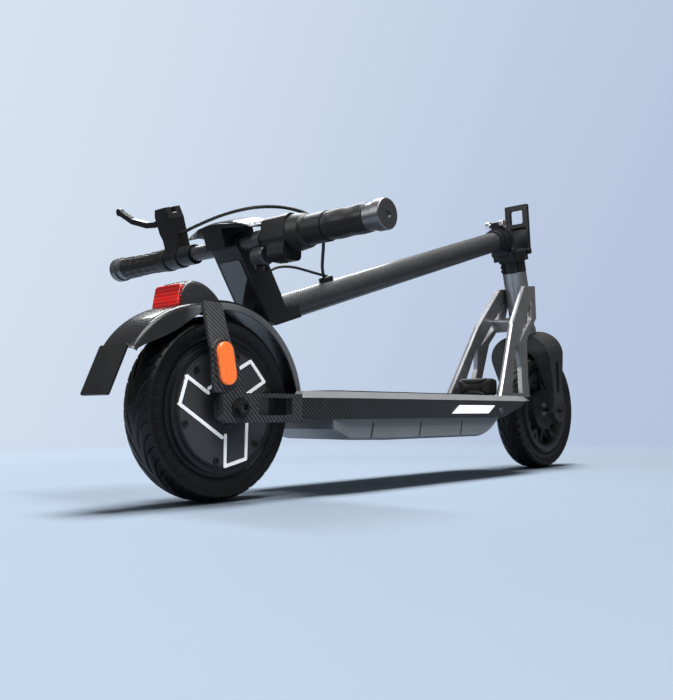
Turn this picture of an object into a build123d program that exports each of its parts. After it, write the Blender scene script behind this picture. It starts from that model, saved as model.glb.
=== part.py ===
from build123d import *
from math import cos, radians, sin, tan
import os

# Electric kick scooter, folded: the stem lies back over the deck and the handlebar hangs over
# the rear fender.  +X is forward, +Y is the rider's left, +Z is up, and all sizes are in mm.
# The origin is on the ground under the middle of the scooter's own box.

os.makedirs("parts", exist_ok=True)

# ---- fits ------------------------------------------------------------------------------------
running = 0.05        # radial clearance of a shaft in a bore that turns on it
side_gap = 0.3        # clearance beside a face that turns past another
stator_gap = 0.8      # air gap between the motor's stator and its shell

# ---- wheels ----------------------------------------------------------------------------------
wheelbase = 914.0
tyre_radius = 127.0
tyre_half = 31.7
crown_half = 12.0
bead_radius = 93.6
bead_half = 24.0
tyre_wall = 6.0
ring_radius = 88.3
ring_half = 30.0
cover_radius = 80.0
cover_thickness = 4.0
axle_radius = 6.0
rear_hub_radius = 78.0
stator_radius = rear_hub_radius - stator_gap

# ---- steering and fold -----------------------------------------------------------------------
rake = 15.0
head_low = 169.8
head_high = 305.4
head_radius = 25.0
head_bore = 22.0
steerer_radius = 14.3
hinge_height = 351.0
hinge_offset = 30.0
fold_travel = 92.8
knuckle_radius = 8.0
pin_radius = 4.0

# ---- stem and handlebar ----------------------------------------------------------------------
stem_radius = 20.5
stem_wall = 2.5
stem_end = 722.0
bar_height = 752.3
bar_forward = 136.5
bar_radius = 11.1
bar_half = 286.0
neck_half = 28.0

# ---- deck ------------------------------------------------------------------------------------
deck_top = 152.0
deck_low = 111.0
deck_half = 85.0
deck_wall = 4.0
deck_plate = 6.0
tail_half = 62.0
pan_low = 77.0
pan_half = 75.0
pan_wall = 3.0

# ---- rear end --------------------------------------------------------------------------------
dropout_thickness = 8.0
fender_radius = 147.5
fender_half = 37.0
fender_wall = 3.0
fender_lip = 14.0
plate_reach = 181.5
plate_width = 62.0
plate_length = 68.5
plate_thickness = 3.0
plate_tilt = 23.2
plate_low = 143.0

# ---- places that follow from the sizes above ---------------------------------------------------
rear_x = (plate_reach - wheelbase - tyre_radius) / 2
front_x = rear_x + wheelbase
axle_z = tyre_radius
left = Axis((0, 0, 0), (0, 1, 0)).direction


def turned(angle):
    """Unit vector in the XZ plane, so many degrees up from forward."""
    return Vector(cos(radians(angle)), 0, sin(radians(angle)))


# steering frame: u forward of the steering axis, w up along it, from the front axle
steer_u = turned(rake)
steer_w = turned(rake + 90)
front_axle_point = Vector(front_x, 0, axle_z)
steer_axis = Plane(origin=front_axle_point, x_dir=steer_u, z_dir=steer_w)
steer_side = Plane(origin=front_axle_point, x_dir=steer_u, z_dir=(0, -1, 0))
steer_front = Plane(origin=front_axle_point, x_dir=(0, 1, 0), z_dir=steer_u)

# stem frame: b forward of the fold pin and a along the stem, both as they lie when folded
pivot = front_axle_point - steer_u * hinge_offset + steer_w * hinge_height
stem_b = turned(rake + fold_travel)
stem_a = turned(rake + 90 + fold_travel)
stem_axis = Plane(origin=pivot + stem_b * hinge_offset, x_dir=stem_b, z_dir=stem_a)
stem_side = Plane(origin=pivot, x_dir=stem_b, z_dir=(0, -1, 0))
bar_centre = pivot + stem_b * bar_forward + stem_a * bar_height
bar_x, bar_z = bar_centre.X, bar_centre.Z


def steer_point(u, w):
    """Point on the centre plane, in the steering frame."""
    return front_axle_point + steer_u * u + steer_w * w


def stem_point(b, a, y=0.0):
    """Point in the stem frame."""
    return pivot + stem_b * b + stem_a * a + Vector(0, y, 0)


def wheel_section(x):
    """Plane across a wheel through its axle: width along the local x, radius along the local y."""
    return Plane(origin=(x, 0, axle_z), x_dir=(0, 1, 0), z_dir=(1, 0, 0))


def side_plane(y, x=0.0, z=0.0):
    """Side view plane at a given y: local x is forward, local y is up, and its normal is -Y."""
    return Plane(origin=(x, y, z), x_dir=(1, 0, 0), z_dir=(0, -1, 0))


def across(centre):
    """Axis along Y through a point."""
    return Axis(centre, (0, 1, 0))


def save(piece, name):
    piece.part.label = name
    export_step(piece.part, f"parts/{name}.step")


rear_axis = across(Vector(rear_x, 0, axle_z))
front_axis = across(front_axle_point)


# ================================================================================================
# Wheels
# ================================================================================================
def tyre(x, name):
    """Tube tyre: a flat-crowned ring with a hollow inside."""
    with BuildPart() as ring:
        with BuildSketch(wheel_section(x)):
            with BuildLine():
                top = Line((-crown_half, tyre_radius), (crown_half, tyre_radius))
                near = ThreePointArc(top @ 1, (tyre_half, tyre_radius - 18), (bead_half, bead_radius))
                low = Line(near @ 1, (-bead_half, bead_radius))
                ThreePointArc(low @ 1, (-tyre_half, tyre_radius - 18), top @ 0)
            make_face()
            with BuildLine():
                hollow = Line((-crown_half, tyre_radius - 9), (crown_half, tyre_radius - 9))
                bulge = tyre_half - tyre_wall
                wall = ThreePointArc(hollow @ 1, (bulge, tyre_radius - 19), (18, bead_radius))
                base = Line(wall @ 1, (-18, bead_radius))
                ThreePointArc(base @ 1, (-bulge, tyre_radius - 19), hollow @ 0)
            make_face(mode=Mode.SUBTRACT)
        revolve(axis=across(Vector(x, 0, axle_z)))
    save(ring, name)


tyre(rear_x, "rear_tyre")
tyre(front_x, "front_tyre")

# rear hub shell: rim bed, side rings and a hollow for the motor
with BuildPart() as rear_rim:
    with BuildSketch(wheel_section(rear_x)):
        Rectangle(2 * bead_half, bead_radius, align=(Align.CENTER, Align.MIN))
        Rectangle(2 * ring_half, ring_radius, align=(Align.CENTER, Align.MIN))
    revolve(axis=rear_axis)
    with BuildSketch(wheel_section(rear_x)):
        Rectangle(2 * (ring_half - 5), rear_hub_radius, align=(Align.CENTER, Align.MIN))
        Rectangle(2 * 80, 19, align=(Align.CENTER, Align.MIN))
    revolve(axis=rear_axis, mode=Mode.SUBTRACT)
save(rear_rim, "rear_rim")

# bearings between the hub shell and the axle
with BuildPart() as rear_bearings:
    for side in (-1, 1):
        with BuildSketch(side_plane(side * (ring_half - 8), rear_x, axle_z)):
            Circle(19)
            Circle(axle_radius + running, mode=Mode.SUBTRACT)
        extrude(amount=-side * 8)
save(rear_bearings, "rear_bearings")

# axle with the motor's stator pressed on it
with BuildPart() as rear_axle:
    with BuildSketch(side_plane(0, rear_x, axle_z)):
        Circle(axle_radius)
    extrude(amount=66, both=True)
    with BuildSketch(side_plane(0, rear_x, axle_z)):
        Circle(stator_radius)
        with PolarLocations(stator_radius - 8, 18):
            RectangleRounded(16, 4, 1.5, mode=Mode.SUBTRACT)
    extrude(amount=16, both=True)
    with BuildSketch(side_plane(0, rear_x, axle_z)):
        Circle(12)
    extrude(amount=20, both=True)
save(rear_axle, "rear_axle")

# pinwheel of the cover: three pockets, each outlined by a bright strip with one long arm
pocket_turn = 42.5
strip_width = 4.6
strip_points = ((40.0, -15.0), (81.0, -14.0), (81.0, 14.0), (43.0, 97.0))


def wheel_point(radius, angle):
    return (radius * cos(radians(angle)), radius * sin(radians(angle)))


def strip_outline(turn):
    """Centre line of one bright strip, in the wheel's side view."""
    return [wheel_point(radius - 3, turn + offset) for radius, offset in strip_points]


cover_face = ring_half + cover_thickness
with BuildPart() as wheel_covers:
    for side in (-1, 1):
        face = Plane(origin=(rear_x, side * ring_half, axle_z), x_dir=(1, 0, 0), z_dir=(0, side, 0))
        with BuildSketch(face):
            Circle(cover_radius)
            Circle(22, mode=Mode.SUBTRACT)
        extrude(amount=cover_thickness)
        with BuildSketch(face.offset(cover_thickness)):
            for turn in range(3):
                with BuildLine():
                    Polyline(*[(x, -side * z) for x, z in strip_outline(pocket_turn + 120 * turn)])
                    offset(amount=strip_width / 2, side=Side.BOTH, closed=True)
                make_face()
        extrude(amount=-2, mode=Mode.SUBTRACT)
        with BuildSketch(face):
            with PolarLocations(72, 6, start_angle=-side * 76):
                Circle(2.5)
        extrude(amount=cover_thickness, mode=Mode.SUBTRACT)
save(wheel_covers, "wheel_covers")

with BuildPart() as cover_trims:
    for side in (-1, 1):
        face = Plane(origin=(rear_x, side * ring_half, axle_z), x_dir=(1, 0, 0), z_dir=(0, side, 0))
        with BuildSketch(face.offset(cover_thickness - 2)):
            for turn in range(3):
                with BuildLine():
                    Polyline(*[(x, -side * z) for x, z in strip_outline(pocket_turn + 120 * turn)])
                    offset(amount=strip_width / 2, side=Side.BOTH, closed=True)
                make_face()
        extrude(amount=3)
save(cover_trims, "cover_trims")

with BuildPart() as cover_screws:
    for side in (-1, 1):
        face = Plane(origin=(rear_x, side * ring_half, axle_z), x_dir=(1, 0, 0), z_dir=(0, side, 0))
        with BuildSketch(face):
            with PolarLocations(72, 6, start_angle=-side * 76):
                Circle(2.5)
        extrude(amount=cover_thickness)
        with BuildSketch(face.offset(cover_thickness)):
            with PolarLocations(72, 6, start_angle=-side * 76):
                Circle(4.5)
        extrude(amount=2)
        with BuildSketch(face.offset(cover_thickness + 2)):
            with PolarLocations(72, 6, start_angle=-side * 76):
                RegularPolygon(2.5, 6)
        extrude(amount=-1.5, mode=Mode.SUBTRACT)
save(cover_screws, "cover_screws")

# front wheel: open rim with five forked spokes round a drum hub
front_hub_radius = 44.0
front_hub_half = 22.0
with BuildPart() as front_rim:
    with BuildSketch(wheel_section(front_x)):
        Rectangle(2 * bead_half, bead_radius, align=(Align.CENTER, Align.MIN))
        Rectangle(2 * 27, 91, align=(Align.CENTER, Align.MIN))
    revolve(axis=front_axis)
    with BuildSketch(side_plane(0, front_x, axle_z)):
        Circle(80)
    extrude(amount=40, both=True, mode=Mode.SUBTRACT)
    with BuildSketch(side_plane(0, front_x, axle_z)):
        Circle(front_hub_radius)
    extrude(amount=front_hub_half, both=True)
    with BuildSketch(side_plane(0, front_x, axle_z)):
        with PolarLocations(62, 10, start_angle=9):
            with Locations(Rotation(0, 0, 24)):
                Rectangle(44, 10)
        with PolarLocations(62, 10, start_angle=9 + 18):
            with Locations(Rotation(0, 0, -24)):
                Rectangle(44, 10)
        Circle(front_hub_radius - 2, mode=Mode.SUBTRACT)
    extrude(amount=9, both=True)
    with BuildSketch(side_plane(front_hub_half, front_x, axle_z)):
        Circle(38)
    extrude(amount=28, mode=Mode.SUBTRACT)
    with BuildSketch(side_plane(0, front_x, axle_z)):
        Circle(14)
    extrude(amount=front_hub_half, both=True, mode=Mode.SUBTRACT)
save(front_rim, "front_rim")

with BuildPart() as front_bearings:
    for y in (-front_hub_half + 8, -front_hub_half + 16):
        with BuildSketch(side_plane(y, front_x, axle_z)):
            Circle(14)
            Circle(axle_radius + running, mode=Mode.SUBTRACT)
        extrude(amount=7.5)
save(front_bearings, "front_bearings")

# drum brake's fixed plate, its shoes on the inside and the arm that turns the cam
arm_pivot = steer_point(-24, 12)
with BuildPart() as brake_plate:
    with BuildSketch(side_plane(front_hub_half + 6, front_x, axle_z)):
        Circle(42)
        Circle(axle_radius, mode=Mode.SUBTRACT)
    extrude(amount=5)
    with BuildSketch(side_plane(front_hub_half + 1, front_x, axle_z)):
        Circle(33)
        Circle(24, mode=Mode.SUBTRACT)
        Rectangle(80, 8, mode=Mode.SUBTRACT)
    extrude(amount=20)
    with BuildSketch(side_plane(front_hub_half + 6, arm_pivot.X, arm_pivot.Z)):
        Circle(3.5)
    extrude(amount=-10)
save(brake_plate, "brake_plate")

with BuildPart() as brake_arm:
    arm_plane = Plane(origin=arm_pivot + left * (front_hub_half + 7), x_dir=steer_u, z_dir=(0, 1, 0))
    with BuildSketch(arm_plane):
        Circle(8)
        with Locations((-16, 0)):
            Rectangle(34, 9)
        with Locations((-33, 0)):
            Circle(6)
        Circle(3.5 + running, mode=Mode.SUBTRACT)
    extrude(amount=5)
save(brake_arm, "brake_arm")

with BuildPart() as front_axle:
    with BuildSketch(side_plane(0, front_x, axle_z)):
        Circle(axle_radius)
    extrude(amount=63, both=True)
    for side in (-1, 1):
        with BuildSketch(side_plane(side * 59, front_x, axle_z)):
            RegularPolygon(9, 6)
        extrude(amount=-side * 7)
save(front_axle, "front_axle")


# ================================================================================================
# Fork and head
# ================================================================================================
crown_top = head_low - 1.0
with BuildPart() as fork:
    with BuildSketch(steer_front):
        with BuildLine():
            top = Line((0, crown_top), (24, crown_top))
            shoulder = ThreePointArc(top @ 1, (57, 152), (70, 116))
            outer = Polyline(shoulder @ 1, (59, 14), (59, -28), (47, -28), (47, 8), (39, 106))
            arch = ThreePointArc(outer @ 1, (27.5, 130), (0, 137))
            Line(arch @ 1, top @ 0)
        make_face()
        mirror(about=Plane.YZ)
    extrude(amount=40, both=True)
    with BuildSketch(steer_side):
        with BuildLine():
            foot = ThreePointArc((-27, 0), (0, -27), (27, 0))
            front = Spline(foot @ 1, (22, 60), (30, 126), (25, crown_top))
            crest = Line(front @ 1, (-25, crown_top))
            Spline(crest @ 1, (-33, 126), (-23, 60), (-27, 0))
        make_face()
        with Locations(Location((0, 70), 90)):
            SlotCenterToCenter(58, 13, mode=Mode.SUBTRACT)
        Circle(axle_radius, mode=Mode.SUBTRACT)
    extrude(amount=80, both=True, mode=Mode.INTERSECT)
    with BuildSketch(steer_axis.offset(crown_top - 12)):
        Circle(steerer_radius)
    extrude(amount=hinge_height - 8 - crown_top + 12)
    with BuildSketch(steer_axis.offset(crown_top - 40)):
        Circle(steerer_radius - 3)
    extrude(amount=hinge_height, mode=Mode.SUBTRACT)
save(fork, "fork")

with BuildPart() as front_light:
    with BuildSketch(steer_front.offset(30)):
        with Locations((0, 152)):
            RectangleRounded(30, 16, 7)
    extrude(amount=12)
    with BuildSketch(steer_side):
        with BuildLine():
            Spline((22, 60), (30, 126), (25, crown_top))
            Polyline((25, crown_top), (-40, crown_top), (-40, 60), (22, 60))
        make_face()
    extrude(amount=80, both=True, mode=Mode.SUBTRACT)
save(front_light, "front_light")

with BuildPart() as head_tube:
    with BuildSketch(steer_axis.offset(head_low)):
        Circle(head_radius)
    extrude(amount=head_high - head_low)
    with BuildSketch(steer_axis.offset(head_low)):
        Circle(head_radius + 2)
    extrude(amount=12)
    with BuildSketch(steer_axis.offset(head_low)):
        Circle(head_bore)
    extrude(amount=head_high - head_low, mode=Mode.SUBTRACT)
save(head_tube, "head_tube")

with BuildPart() as headset_bearings:
    for w in (head_low, head_high - 12):
        with BuildSketch(steer_axis.offset(w)):
            Circle(head_bore)
            Circle(steerer_radius + running, mode=Mode.SUBTRACT)
        extrude(amount=12)
save(headset_bearings, "headset_bearings")

# hinge base: split collar on the steerer, with rear ears for the fold pin and a front boss
latch_u, latch_w = 34.0, hinge_height - 5
base_top = hinge_height - side_gap
ear_inner = 12.0
ear_outer = 24.0
with BuildPart() as hinge_base:
    with BuildSketch(steer_axis.offset(head_high + 1)):
        Circle(25.5)
    extrude(amount=22)
    with BuildSketch(steer_axis.offset(head_high + 23)):
        Circle(29)
        with Locations((latch_u / 2, 0)):
            Rectangle(latch_u, 40)
    extrude(amount=base_top - head_high - 23)
    with BuildSketch(steer_side):
        with Locations((-hinge_offset, hinge_height)):
            Circle(knuckle_radius)
        with Locations((-hinge_offset + 4, hinge_height - 9)):
            Rectangle(22, 16)
    extrude(amount=ear_outer, both=True)
    with BuildSketch(steer_side):
        with Locations((-hinge_offset, hinge_height)):
            Circle(knuckle_radius + 0.8)
    extrude(amount=ear_inner, both=True, mode=Mode.SUBTRACT)
    with BuildSketch(steer_side):
        with Locations((latch_u, latch_w)):
            Circle(7)
    extrude(amount=21, both=True)
    with BuildSketch(steer_side):
        with Locations((latch_u, latch_w)):
            Circle(3.5)
    extrude(amount=28, both=True)
    with BuildSketch(steer_axis.offset(head_high + 1)):
        Circle(steerer_radius)
    extrude(amount=hinge_height - 8 - head_high - 1, mode=Mode.SUBTRACT)
    with BuildSketch(steer_side):
        with Locations((-hinge_offset, hinge_height)):
            Circle(pin_radius)
    extrude(amount=40, both=True, mode=Mode.SUBTRACT)
    with BuildSketch(steer_axis.offset(head_high + 1)):
        with Locations(Location((0, 0), -130)):
            Rectangle(40, 2, align=(Align.MIN, Align.CENTER))
    extrude(amount=22, mode=Mode.SUBTRACT)
save(hinge_base, "hinge_base")

# fold pin, and the bolts that draw the split collar shut
with BuildPart() as hinge_bolts:
    with BuildSketch(steer_side.offset(-ear_outer)):
        with Locations((-hinge_offset, hinge_height)):
            Circle(pin_radius)
    extrude(amount=2 * ear_outer)
    for side in (-1, 1):
        with BuildSketch(steer_side.offset(-side * ear_outer)):
            with Locations((-hinge_offset, hinge_height)):
                RegularPolygon(6.5, 6)
        extrude(amount=-side * 4)
    for w in (head_high + 7, head_high + 16):
        bolt_plane = Plane(origin=steer_axis.from_local_coords((-25.5, 0, w)), x_dir=(0, 1, 0),
                           z_dir=-steer_u)
        with BuildSketch(bolt_plane):
            with Locations((12, 0), (-12, 0)):
                Circle(3.6)
                RegularPolygon(2, 6, mode=Mode.SUBTRACT)
        extrude(amount=2.5)
    with BuildSketch(steer_axis.offset(head_high + 1)):
        Circle(25.5)
    extrude(amount=22, mode=Mode.SUBTRACT)
save(hinge_bolts, "hinge_bolts")

# latch lever: a frame with two side rails, a finger window and a window for the striker
latch_lean = 10.5
latch_length = 102.0
rail_inner = 22.5
rail_outer = 27.0
latch_origin = steer_point(latch_u, latch_w)
latch_up = turned(rake + 90 - latch_lean)
latch_face = Plane(origin=latch_origin, x_dir=(0, 1, 0), z_dir=turned(rake - latch_lean))
latch_side = Plane(origin=latch_origin, x_dir=turned(rake - latch_lean), z_dir=(0, -1, 0))
with BuildPart() as latch_lever:
    with BuildSketch(latch_face):
        with Locations((0, latch_length / 2)):
            Rectangle(2 * rail_outer, latch_length)
        with Locations((0, 26)):
            Rectangle(2 * rail_inner, 52, mode=Mode.SUBTRACT)
        with Locations((0, latch_length - 26)):
            RectangleRounded(30, 30, 4, mode=Mode.SUBTRACT)
    extrude(amount=4, both=True)
    fillet(latch_lever.edges().filter_by(Axis((0, 0, 0), turned(rake - latch_lean))), 2.2)
    for side in (-1, 1):
        with BuildSketch(latch_side.offset(-side * rail_inner)):
            Circle(7)
        extrude(amount=-side * (rail_outer - rail_inner))
    with BuildSketch(latch_side):
        Circle(3.5 + running)
    extrude(amount=40, both=True, mode=Mode.SUBTRACT)
save(latch_lever, "latch_lever")


# ================================================================================================
# Front struts: a leaning plate each side, shaped as two crossing bars
# ================================================================================================
strut_foot_y = 60.0
strut_head_y = 29.0
strut_rise = 235.0
strut_thickness = 10.0
# crossbar between the struts, behind the head tube
with BuildPart() as head_brace:
    with BuildSketch(steer_side):
        with Locations((-40, 198)):
            Rectangle(40, 26)
    extrude(amount=60, both=True)
    fillet(head_brace.edges().filter_by(Axis.Y), 4)
    for side in (-1, 1):
        lean = Vector(0, side * (strut_head_y - strut_foot_y), strut_rise).normalized()
        outward = Vector(1, 0, 0).cross(lean) * (-side)
        brace_plane = Plane(origin=(rear_x, side * strut_foot_y, deck_top), x_dir=(1, 0, 0), z_dir=outward)
        with BuildSketch(brace_plane):
            Rectangle(3000, 1000)
        extrude(amount=200, mode=Mode.SUBTRACT)

with BuildPart() as front_struts:
    for side in (-1, 1):
        lean = Vector(0, side * (strut_head_y - strut_foot_y), strut_rise).normalized()
        normal = Vector(1, 0, 0).cross(lean)
        strut_plane = Plane(origin=(rear_x, side * strut_foot_y, deck_top), x_dir=(1, 0, 0), z_dir=normal)
        with BuildSketch(strut_plane):
            with BuildLine():
                Polyline((655, -8), (742, 150), (812, 235), (866, 242), (852, 172), (836, 158),
                         (792, 110), (782, 60), (776, -8), close=True)
            make_face()
            with BuildLine():
                Polyline((708, 6), (750, 106), (756, 60), (746, 6), close=True)
            make_face(mode=Mode.SUBTRACT)
            with BuildLine():
                Polyline((778, 128), (834, 200), (826, 168), close=True)
            make_face(mode=Mode.SUBTRACT)
        extrude(amount=strut_thickness / 2, both=True)
    chamfer(front_struts.edges().filter_by(GeomType.LINE).filter_by(
        lambda e: e.length > 60), 3)
    add(head_brace.part)
    with BuildSketch(steer_axis.offset(head_low)):
        Circle(head_radius + 2)
    extrude(amount=12, mode=Mode.SUBTRACT)
    with BuildSketch(steer_axis.offset(head_low - 60)):
        Circle(head_radius)
    extrude(amount=200, mode=Mode.SUBTRACT)
    with BuildSketch(Plane.XY.offset(deck_top)):
        Rectangle(3000, 400)
    extrude(amount=-40, mode=Mode.SUBTRACT)
save(front_struts, "front_struts")

# ================================================================================================
# Deck
# ================================================================================================
well_half = 42.0
well_depth = 158.0
nose = 780.0
with BuildPart() as deck_body:
    with BuildSketch(Plane.XY.offset(deck_low)) as deck_plan:
        with BuildLine():
            Polyline((rear_x + 118, 0), (rear_x + 118, tail_half), (rear_x + 200, deck_half),
                     (rear_x + 706, deck_half), (rear_x + nose, 62), (rear_x + nose, 0), close=True)
        make_face()
        mirror(about=Plane.XZ)
    extrude(amount=deck_top - deck_low)
    chamfer(deck_body.faces().sort_by(Axis.Z)[-1].edges(), 10, 8)
    with BuildSketch(Plane.XY.offset(deck_low)):
        with BuildLine():
            inset = deck_half - deck_wall
            Polyline((rear_x + 180, 0), (rear_x + 180, 70), (rear_x + 210, inset), (rear_x + 628, inset),
                     (rear_x + 628, 0), close=True)
        make_face()
        mirror(about=Plane.XZ)
    extrude(amount=deck_top - deck_low - deck_plate, mode=Mode.SUBTRACT)
    with BuildSketch(Plane.XY.offset(deck_low)):
        with Locations((rear_x + well_depth / 2, 0)):
            Rectangle(well_depth, 2 * well_half)
    extrude(amount=60, mode=Mode.SUBTRACT)
    with BuildSketch(side_plane(0, rear_x, 0)):
        with BuildLine():
            Polyline((634, deck_low - 1), (634, deck_low), (740, 143), (800, 143), (800, deck_low - 1),
                     close=True)
        make_face()
    extrude(amount=100, both=True, mode=Mode.SUBTRACT)
save(deck_body, "deck_body")

with BuildPart() as grip_mat:
    with BuildSketch(Plane.XY.offset(deck_top)):
        with Locations((rear_x + 402, 0)):
            RectangleRounded(460, 144, 18)
    extrude(amount=1.6)
save(grip_mat, "grip_mat")

with BuildPart() as battery_cover:
    with BuildSketch(side_plane(0, rear_x, 0)):
        with BuildLine():
            low = Polyline((170, deck_low), (170, 96), (218, 79), (300, pan_low), (553, pan_low))
            bow = ThreePointArc(low @ 1, (610, 89), (640, deck_low))
            Line(bow @ 1, low @ 0)
        make_face()
    extrude(amount=pan_half, both=True)
    fillet(battery_cover.edges().filter_by(Axis.X).sort_by(Axis.Z)[0:2], 8)
    with BuildSketch(side_plane(0, rear_x, 0)):
        with BuildLine():
            low = Polyline((184, deck_low), (184, 98), (222, 82.5), (302, pan_low + pan_wall),
                           (548, pan_low + pan_wall))
            bow = ThreePointArc(low @ 1, (600, 91), (625, deck_low))
            Line(bow @ 1, low @ 0)
        make_face()
    extrude(amount=pan_half - pan_wall, both=True, mode=Mode.SUBTRACT)
save(battery_cover, "battery_cover")

cell_radius = 9.15
cell_length = 65.0
cell_pitch = 19.0
with BuildPart() as battery_pack:
    for side in (-1, 1):
        for layer in range(3):
            with BuildSketch(side_plane(side * 34 + cell_length / 2, rear_x, 84 + cell_radius + layer * 20)):
                with Locations(*[(236 + cell_pitch * n, 0) for n in range(13)]):
                    Circle(cell_radius)
            extrude(amount=cell_length)
save(battery_pack, "battery_pack")

with BuildPart() as motor_controller:
    with BuildSketch(Plane.XY.offset(deck_top - deck_plate)):
        with Locations((rear_x + 545, 0)):
            RectangleRounded(110, 80, 5)
    extrude(amount=-28)
    with BuildSketch(Plane.XY.offset(deck_top - deck_plate - 28)):
        with Locations((rear_x + 545, 0)):
            with GridLocations(0, 10, 1, 7):
                Rectangle(100, 6)
    extrude(amount=6, mode=Mode.SUBTRACT)
save(motor_controller, "motor_controller")

with BuildPart() as side_reflectors:
    for side in (-1, 1):
        with BuildSketch(side_plane(side * deck_half, rear_x, 0)):
            with BuildLine():
                Polyline((464, 118.6), (580, 118.6), (603, 133), (487, 133), close=True)
            make_face()
        extrude(amount=-side * 1.5)
save(side_reflectors, "side_reflectors")

with BuildPart() as charge_port:
    with BuildSketch(side_plane(-deck_half, rear_x, 0)):
        with Locations((625, 122.5)):
            Circle(6.5)
    extrude(amount=2.5)
    fillet(charge_port.faces().sort_by(Axis.Y)[0].edges(), 1)
save(charge_port, "charge_port")

with BuildPart() as front_pad:
    with BuildSketch(Plane.XY.offset(deck_top)):
        with Locations((rear_x + 681, 0)):
            RectangleRounded(36, 74, 6)
    extrude(amount=36)
    fillet(front_pad.faces().sort_by(Axis.Z)[-1].edges(), 4)
save(front_pad, "front_pad")


# ================================================================================================
# Rear end: dropouts, fender, lights and plate holder
# ================================================================================================
with BuildPart() as dropouts:
    for side in (-1, 1):
        with BuildSketch(side_plane(side * tail_half, rear_x, 0)):
            with BuildLine():
                Polyline((-29, 112), (-29, 145), (-20, 147), (118, 147), (118, 107), (-24, 107), close=True)
            make_face()
            with Locations((66, 129)):
                RectangleRounded(64, 24, 4, mode=Mode.SUBTRACT)
            with Locations((0, axle_z)):
                Circle(axle_radius, mode=Mode.SUBTRACT)
        extrude(amount=side * dropout_thickness)
save(dropouts, "dropouts")

with BuildPart() as rear_axle_nuts:
    for side in (-1, 1):
        with BuildSketch(side_plane(side * tail_half, rear_x, axle_z)):
            Circle(14)
            Circle(axle_radius, mode=Mode.SUBTRACT)
        extrude(amount=-side * 2)
        with BuildSketch(side_plane(side * (tail_half + 2), rear_x, axle_z)):
            RegularPolygon(11, 6)
            Circle(axle_radius, mode=Mode.SUBTRACT)
        extrude(amount=-side * 8)
save(rear_axle_nuts, "rear_axle_nuts")


def fender_outline(skin):
    """Side view of the fender, from its top skin down to its lower edge, less a skin thickness."""
    radius = fender_radius - skin
    lip = fender_radius - fender_lip if skin == 0 else 60
    with BuildLine() as outline:
        start = wheel_point(radius, 8.5)
        shell = ThreePointArc(start, wheel_point(radius, 60), wheel_point(radius, 108))
        tail = Spline(shell @ 1, (-88, 128 - skin), (-118 + skin * 0.4, 114 - skin),
                      (-153 + skin, 75 - skin * 0.5), tangents=[shell % 1, (-0.7, -0.72)],
                      tangent_scalars=[1, 1])
        if skin == 0:
            under = Line(tail @ 1, (-150, 67))
            back = Spline(under @ 1, wheel_point(lip, 143), tangents=[(0.9, 0.1), (0.6, 0.8)])
            lower = ThreePointArc(back @ 1, wheel_point(lip, 80), wheel_point(lip, 8.5))
            Line(lower @ 1, start)
        else:
            Polyline(tail @ 1, (-150, 40), (0, -10), (160, 0), start)
    return outline.edges()


fender_plane = side_plane(0, rear_x, axle_z)
with BuildPart() as rear_fender:
    with BuildSketch(fender_plane):
        make_face(fender_outline(0))
    extrude(amount=fender_half, both=True)
    with BuildSketch(fender_plane):
        make_face(fender_outline(fender_wall))
    extrude(amount=fender_half - fender_wall, both=True, mode=Mode.SUBTRACT)
save(rear_fender, "rear_fender")

with BuildPart() as fender_straps:
    for side in (-1, 1):
        with BuildSketch(Plane(origin=(rear_x - 60, 0, 0), x_dir=(0, 1, 0), z_dir=(1, 0, 0))):
            with BuildLine():
                Polyline((side * fender_half, 268), (side * (fender_half + 4.5), 268),
                         (side * tail_half, 205), (side * tail_half, 147), (side * (tail_half - 4.5), 147),
                         (side * (tail_half - 4.5), 203), (side * fender_half, 262), close=True)
            make_face()
        extrude(amount=90)
    with BuildSketch(side_plane(0, rear_x, 0)):
        with BuildLine():
            Polyline((-46, 272), (-50, 210), (-44, 147), (11, 147), (-14, 215), (-16, 272), close=True)
        make_face()
    extrude(amount=90, both=True, mode=Mode.INTERSECT)
    for side in (-1, 1):
        with BuildSketch(side_plane(side * (tail_half - 4.5), rear_x - 26.5, 185)):
            with Locations(Location((0, 0), 101)):
                SlotOverall(66, 34)
        extrude(amount=-side * 6.5)
save(fender_straps, "fender_straps")

with BuildPart() as amber_reflectors:
    for side in (-1, 1):
        with BuildSketch(side_plane(side * (tail_half + 2), rear_x - 26.5, 185)):
            with Locations(Location((0, 0), 101)):
                SlotOverall(57, 26)
        extrude(amount=-side * 5)
    fillet(amber_reflectors.faces().sort_by(Axis.Y)[0].edges(), 2)
    fillet(amber_reflectors.faces().sort_by(Axis.Y)[-1].edges(), 2)
save(amber_reflectors, "amber_reflectors")

lamp_half = 30.0
with BuildPart() as tail_light_housing:
    with BuildSketch(fender_plane):
        with BuildLine():
            Polyline((-77, 118), (-68, 165), (-58, 169), (-34, 165), (-16, 152), (-6, 138), (-6, 118),
                     close=True)
        make_face()
    extrude(amount=lamp_half, both=True)
    fillet(tail_light_housing.edges().filter_by(Axis.Y).sort_by(Axis.Z)[-3:], 4)
    with BuildSketch(fender_plane):
        make_face(fender_outline(0))
        Circle(fender_radius - 1)
    extrude(amount=80, both=True, mode=Mode.SUBTRACT)
save(tail_light_housing, "tail_light_housing")

lamp_face = Plane(origin=(rear_x - 71.6, 0, axle_z + 146.2), x_dir=(0, 1, 0),
                  z_dir=Vector(-47, 0, 9).normalized())
with BuildPart() as tail_light_lens:
    with BuildSketch(lamp_face):
        RectangleRounded(57, 33, 6)
    extrude(amount=5)
    fillet(tail_light_lens.faces().sort_by(Axis.X)[0].edges(), 2)
    with BuildSketch(fender_plane):
        make_face(fender_outline(0))
    extrude(amount=80, both=True, mode=Mode.SUBTRACT)
save(tail_light_lens, "tail_light_lens")

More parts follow.
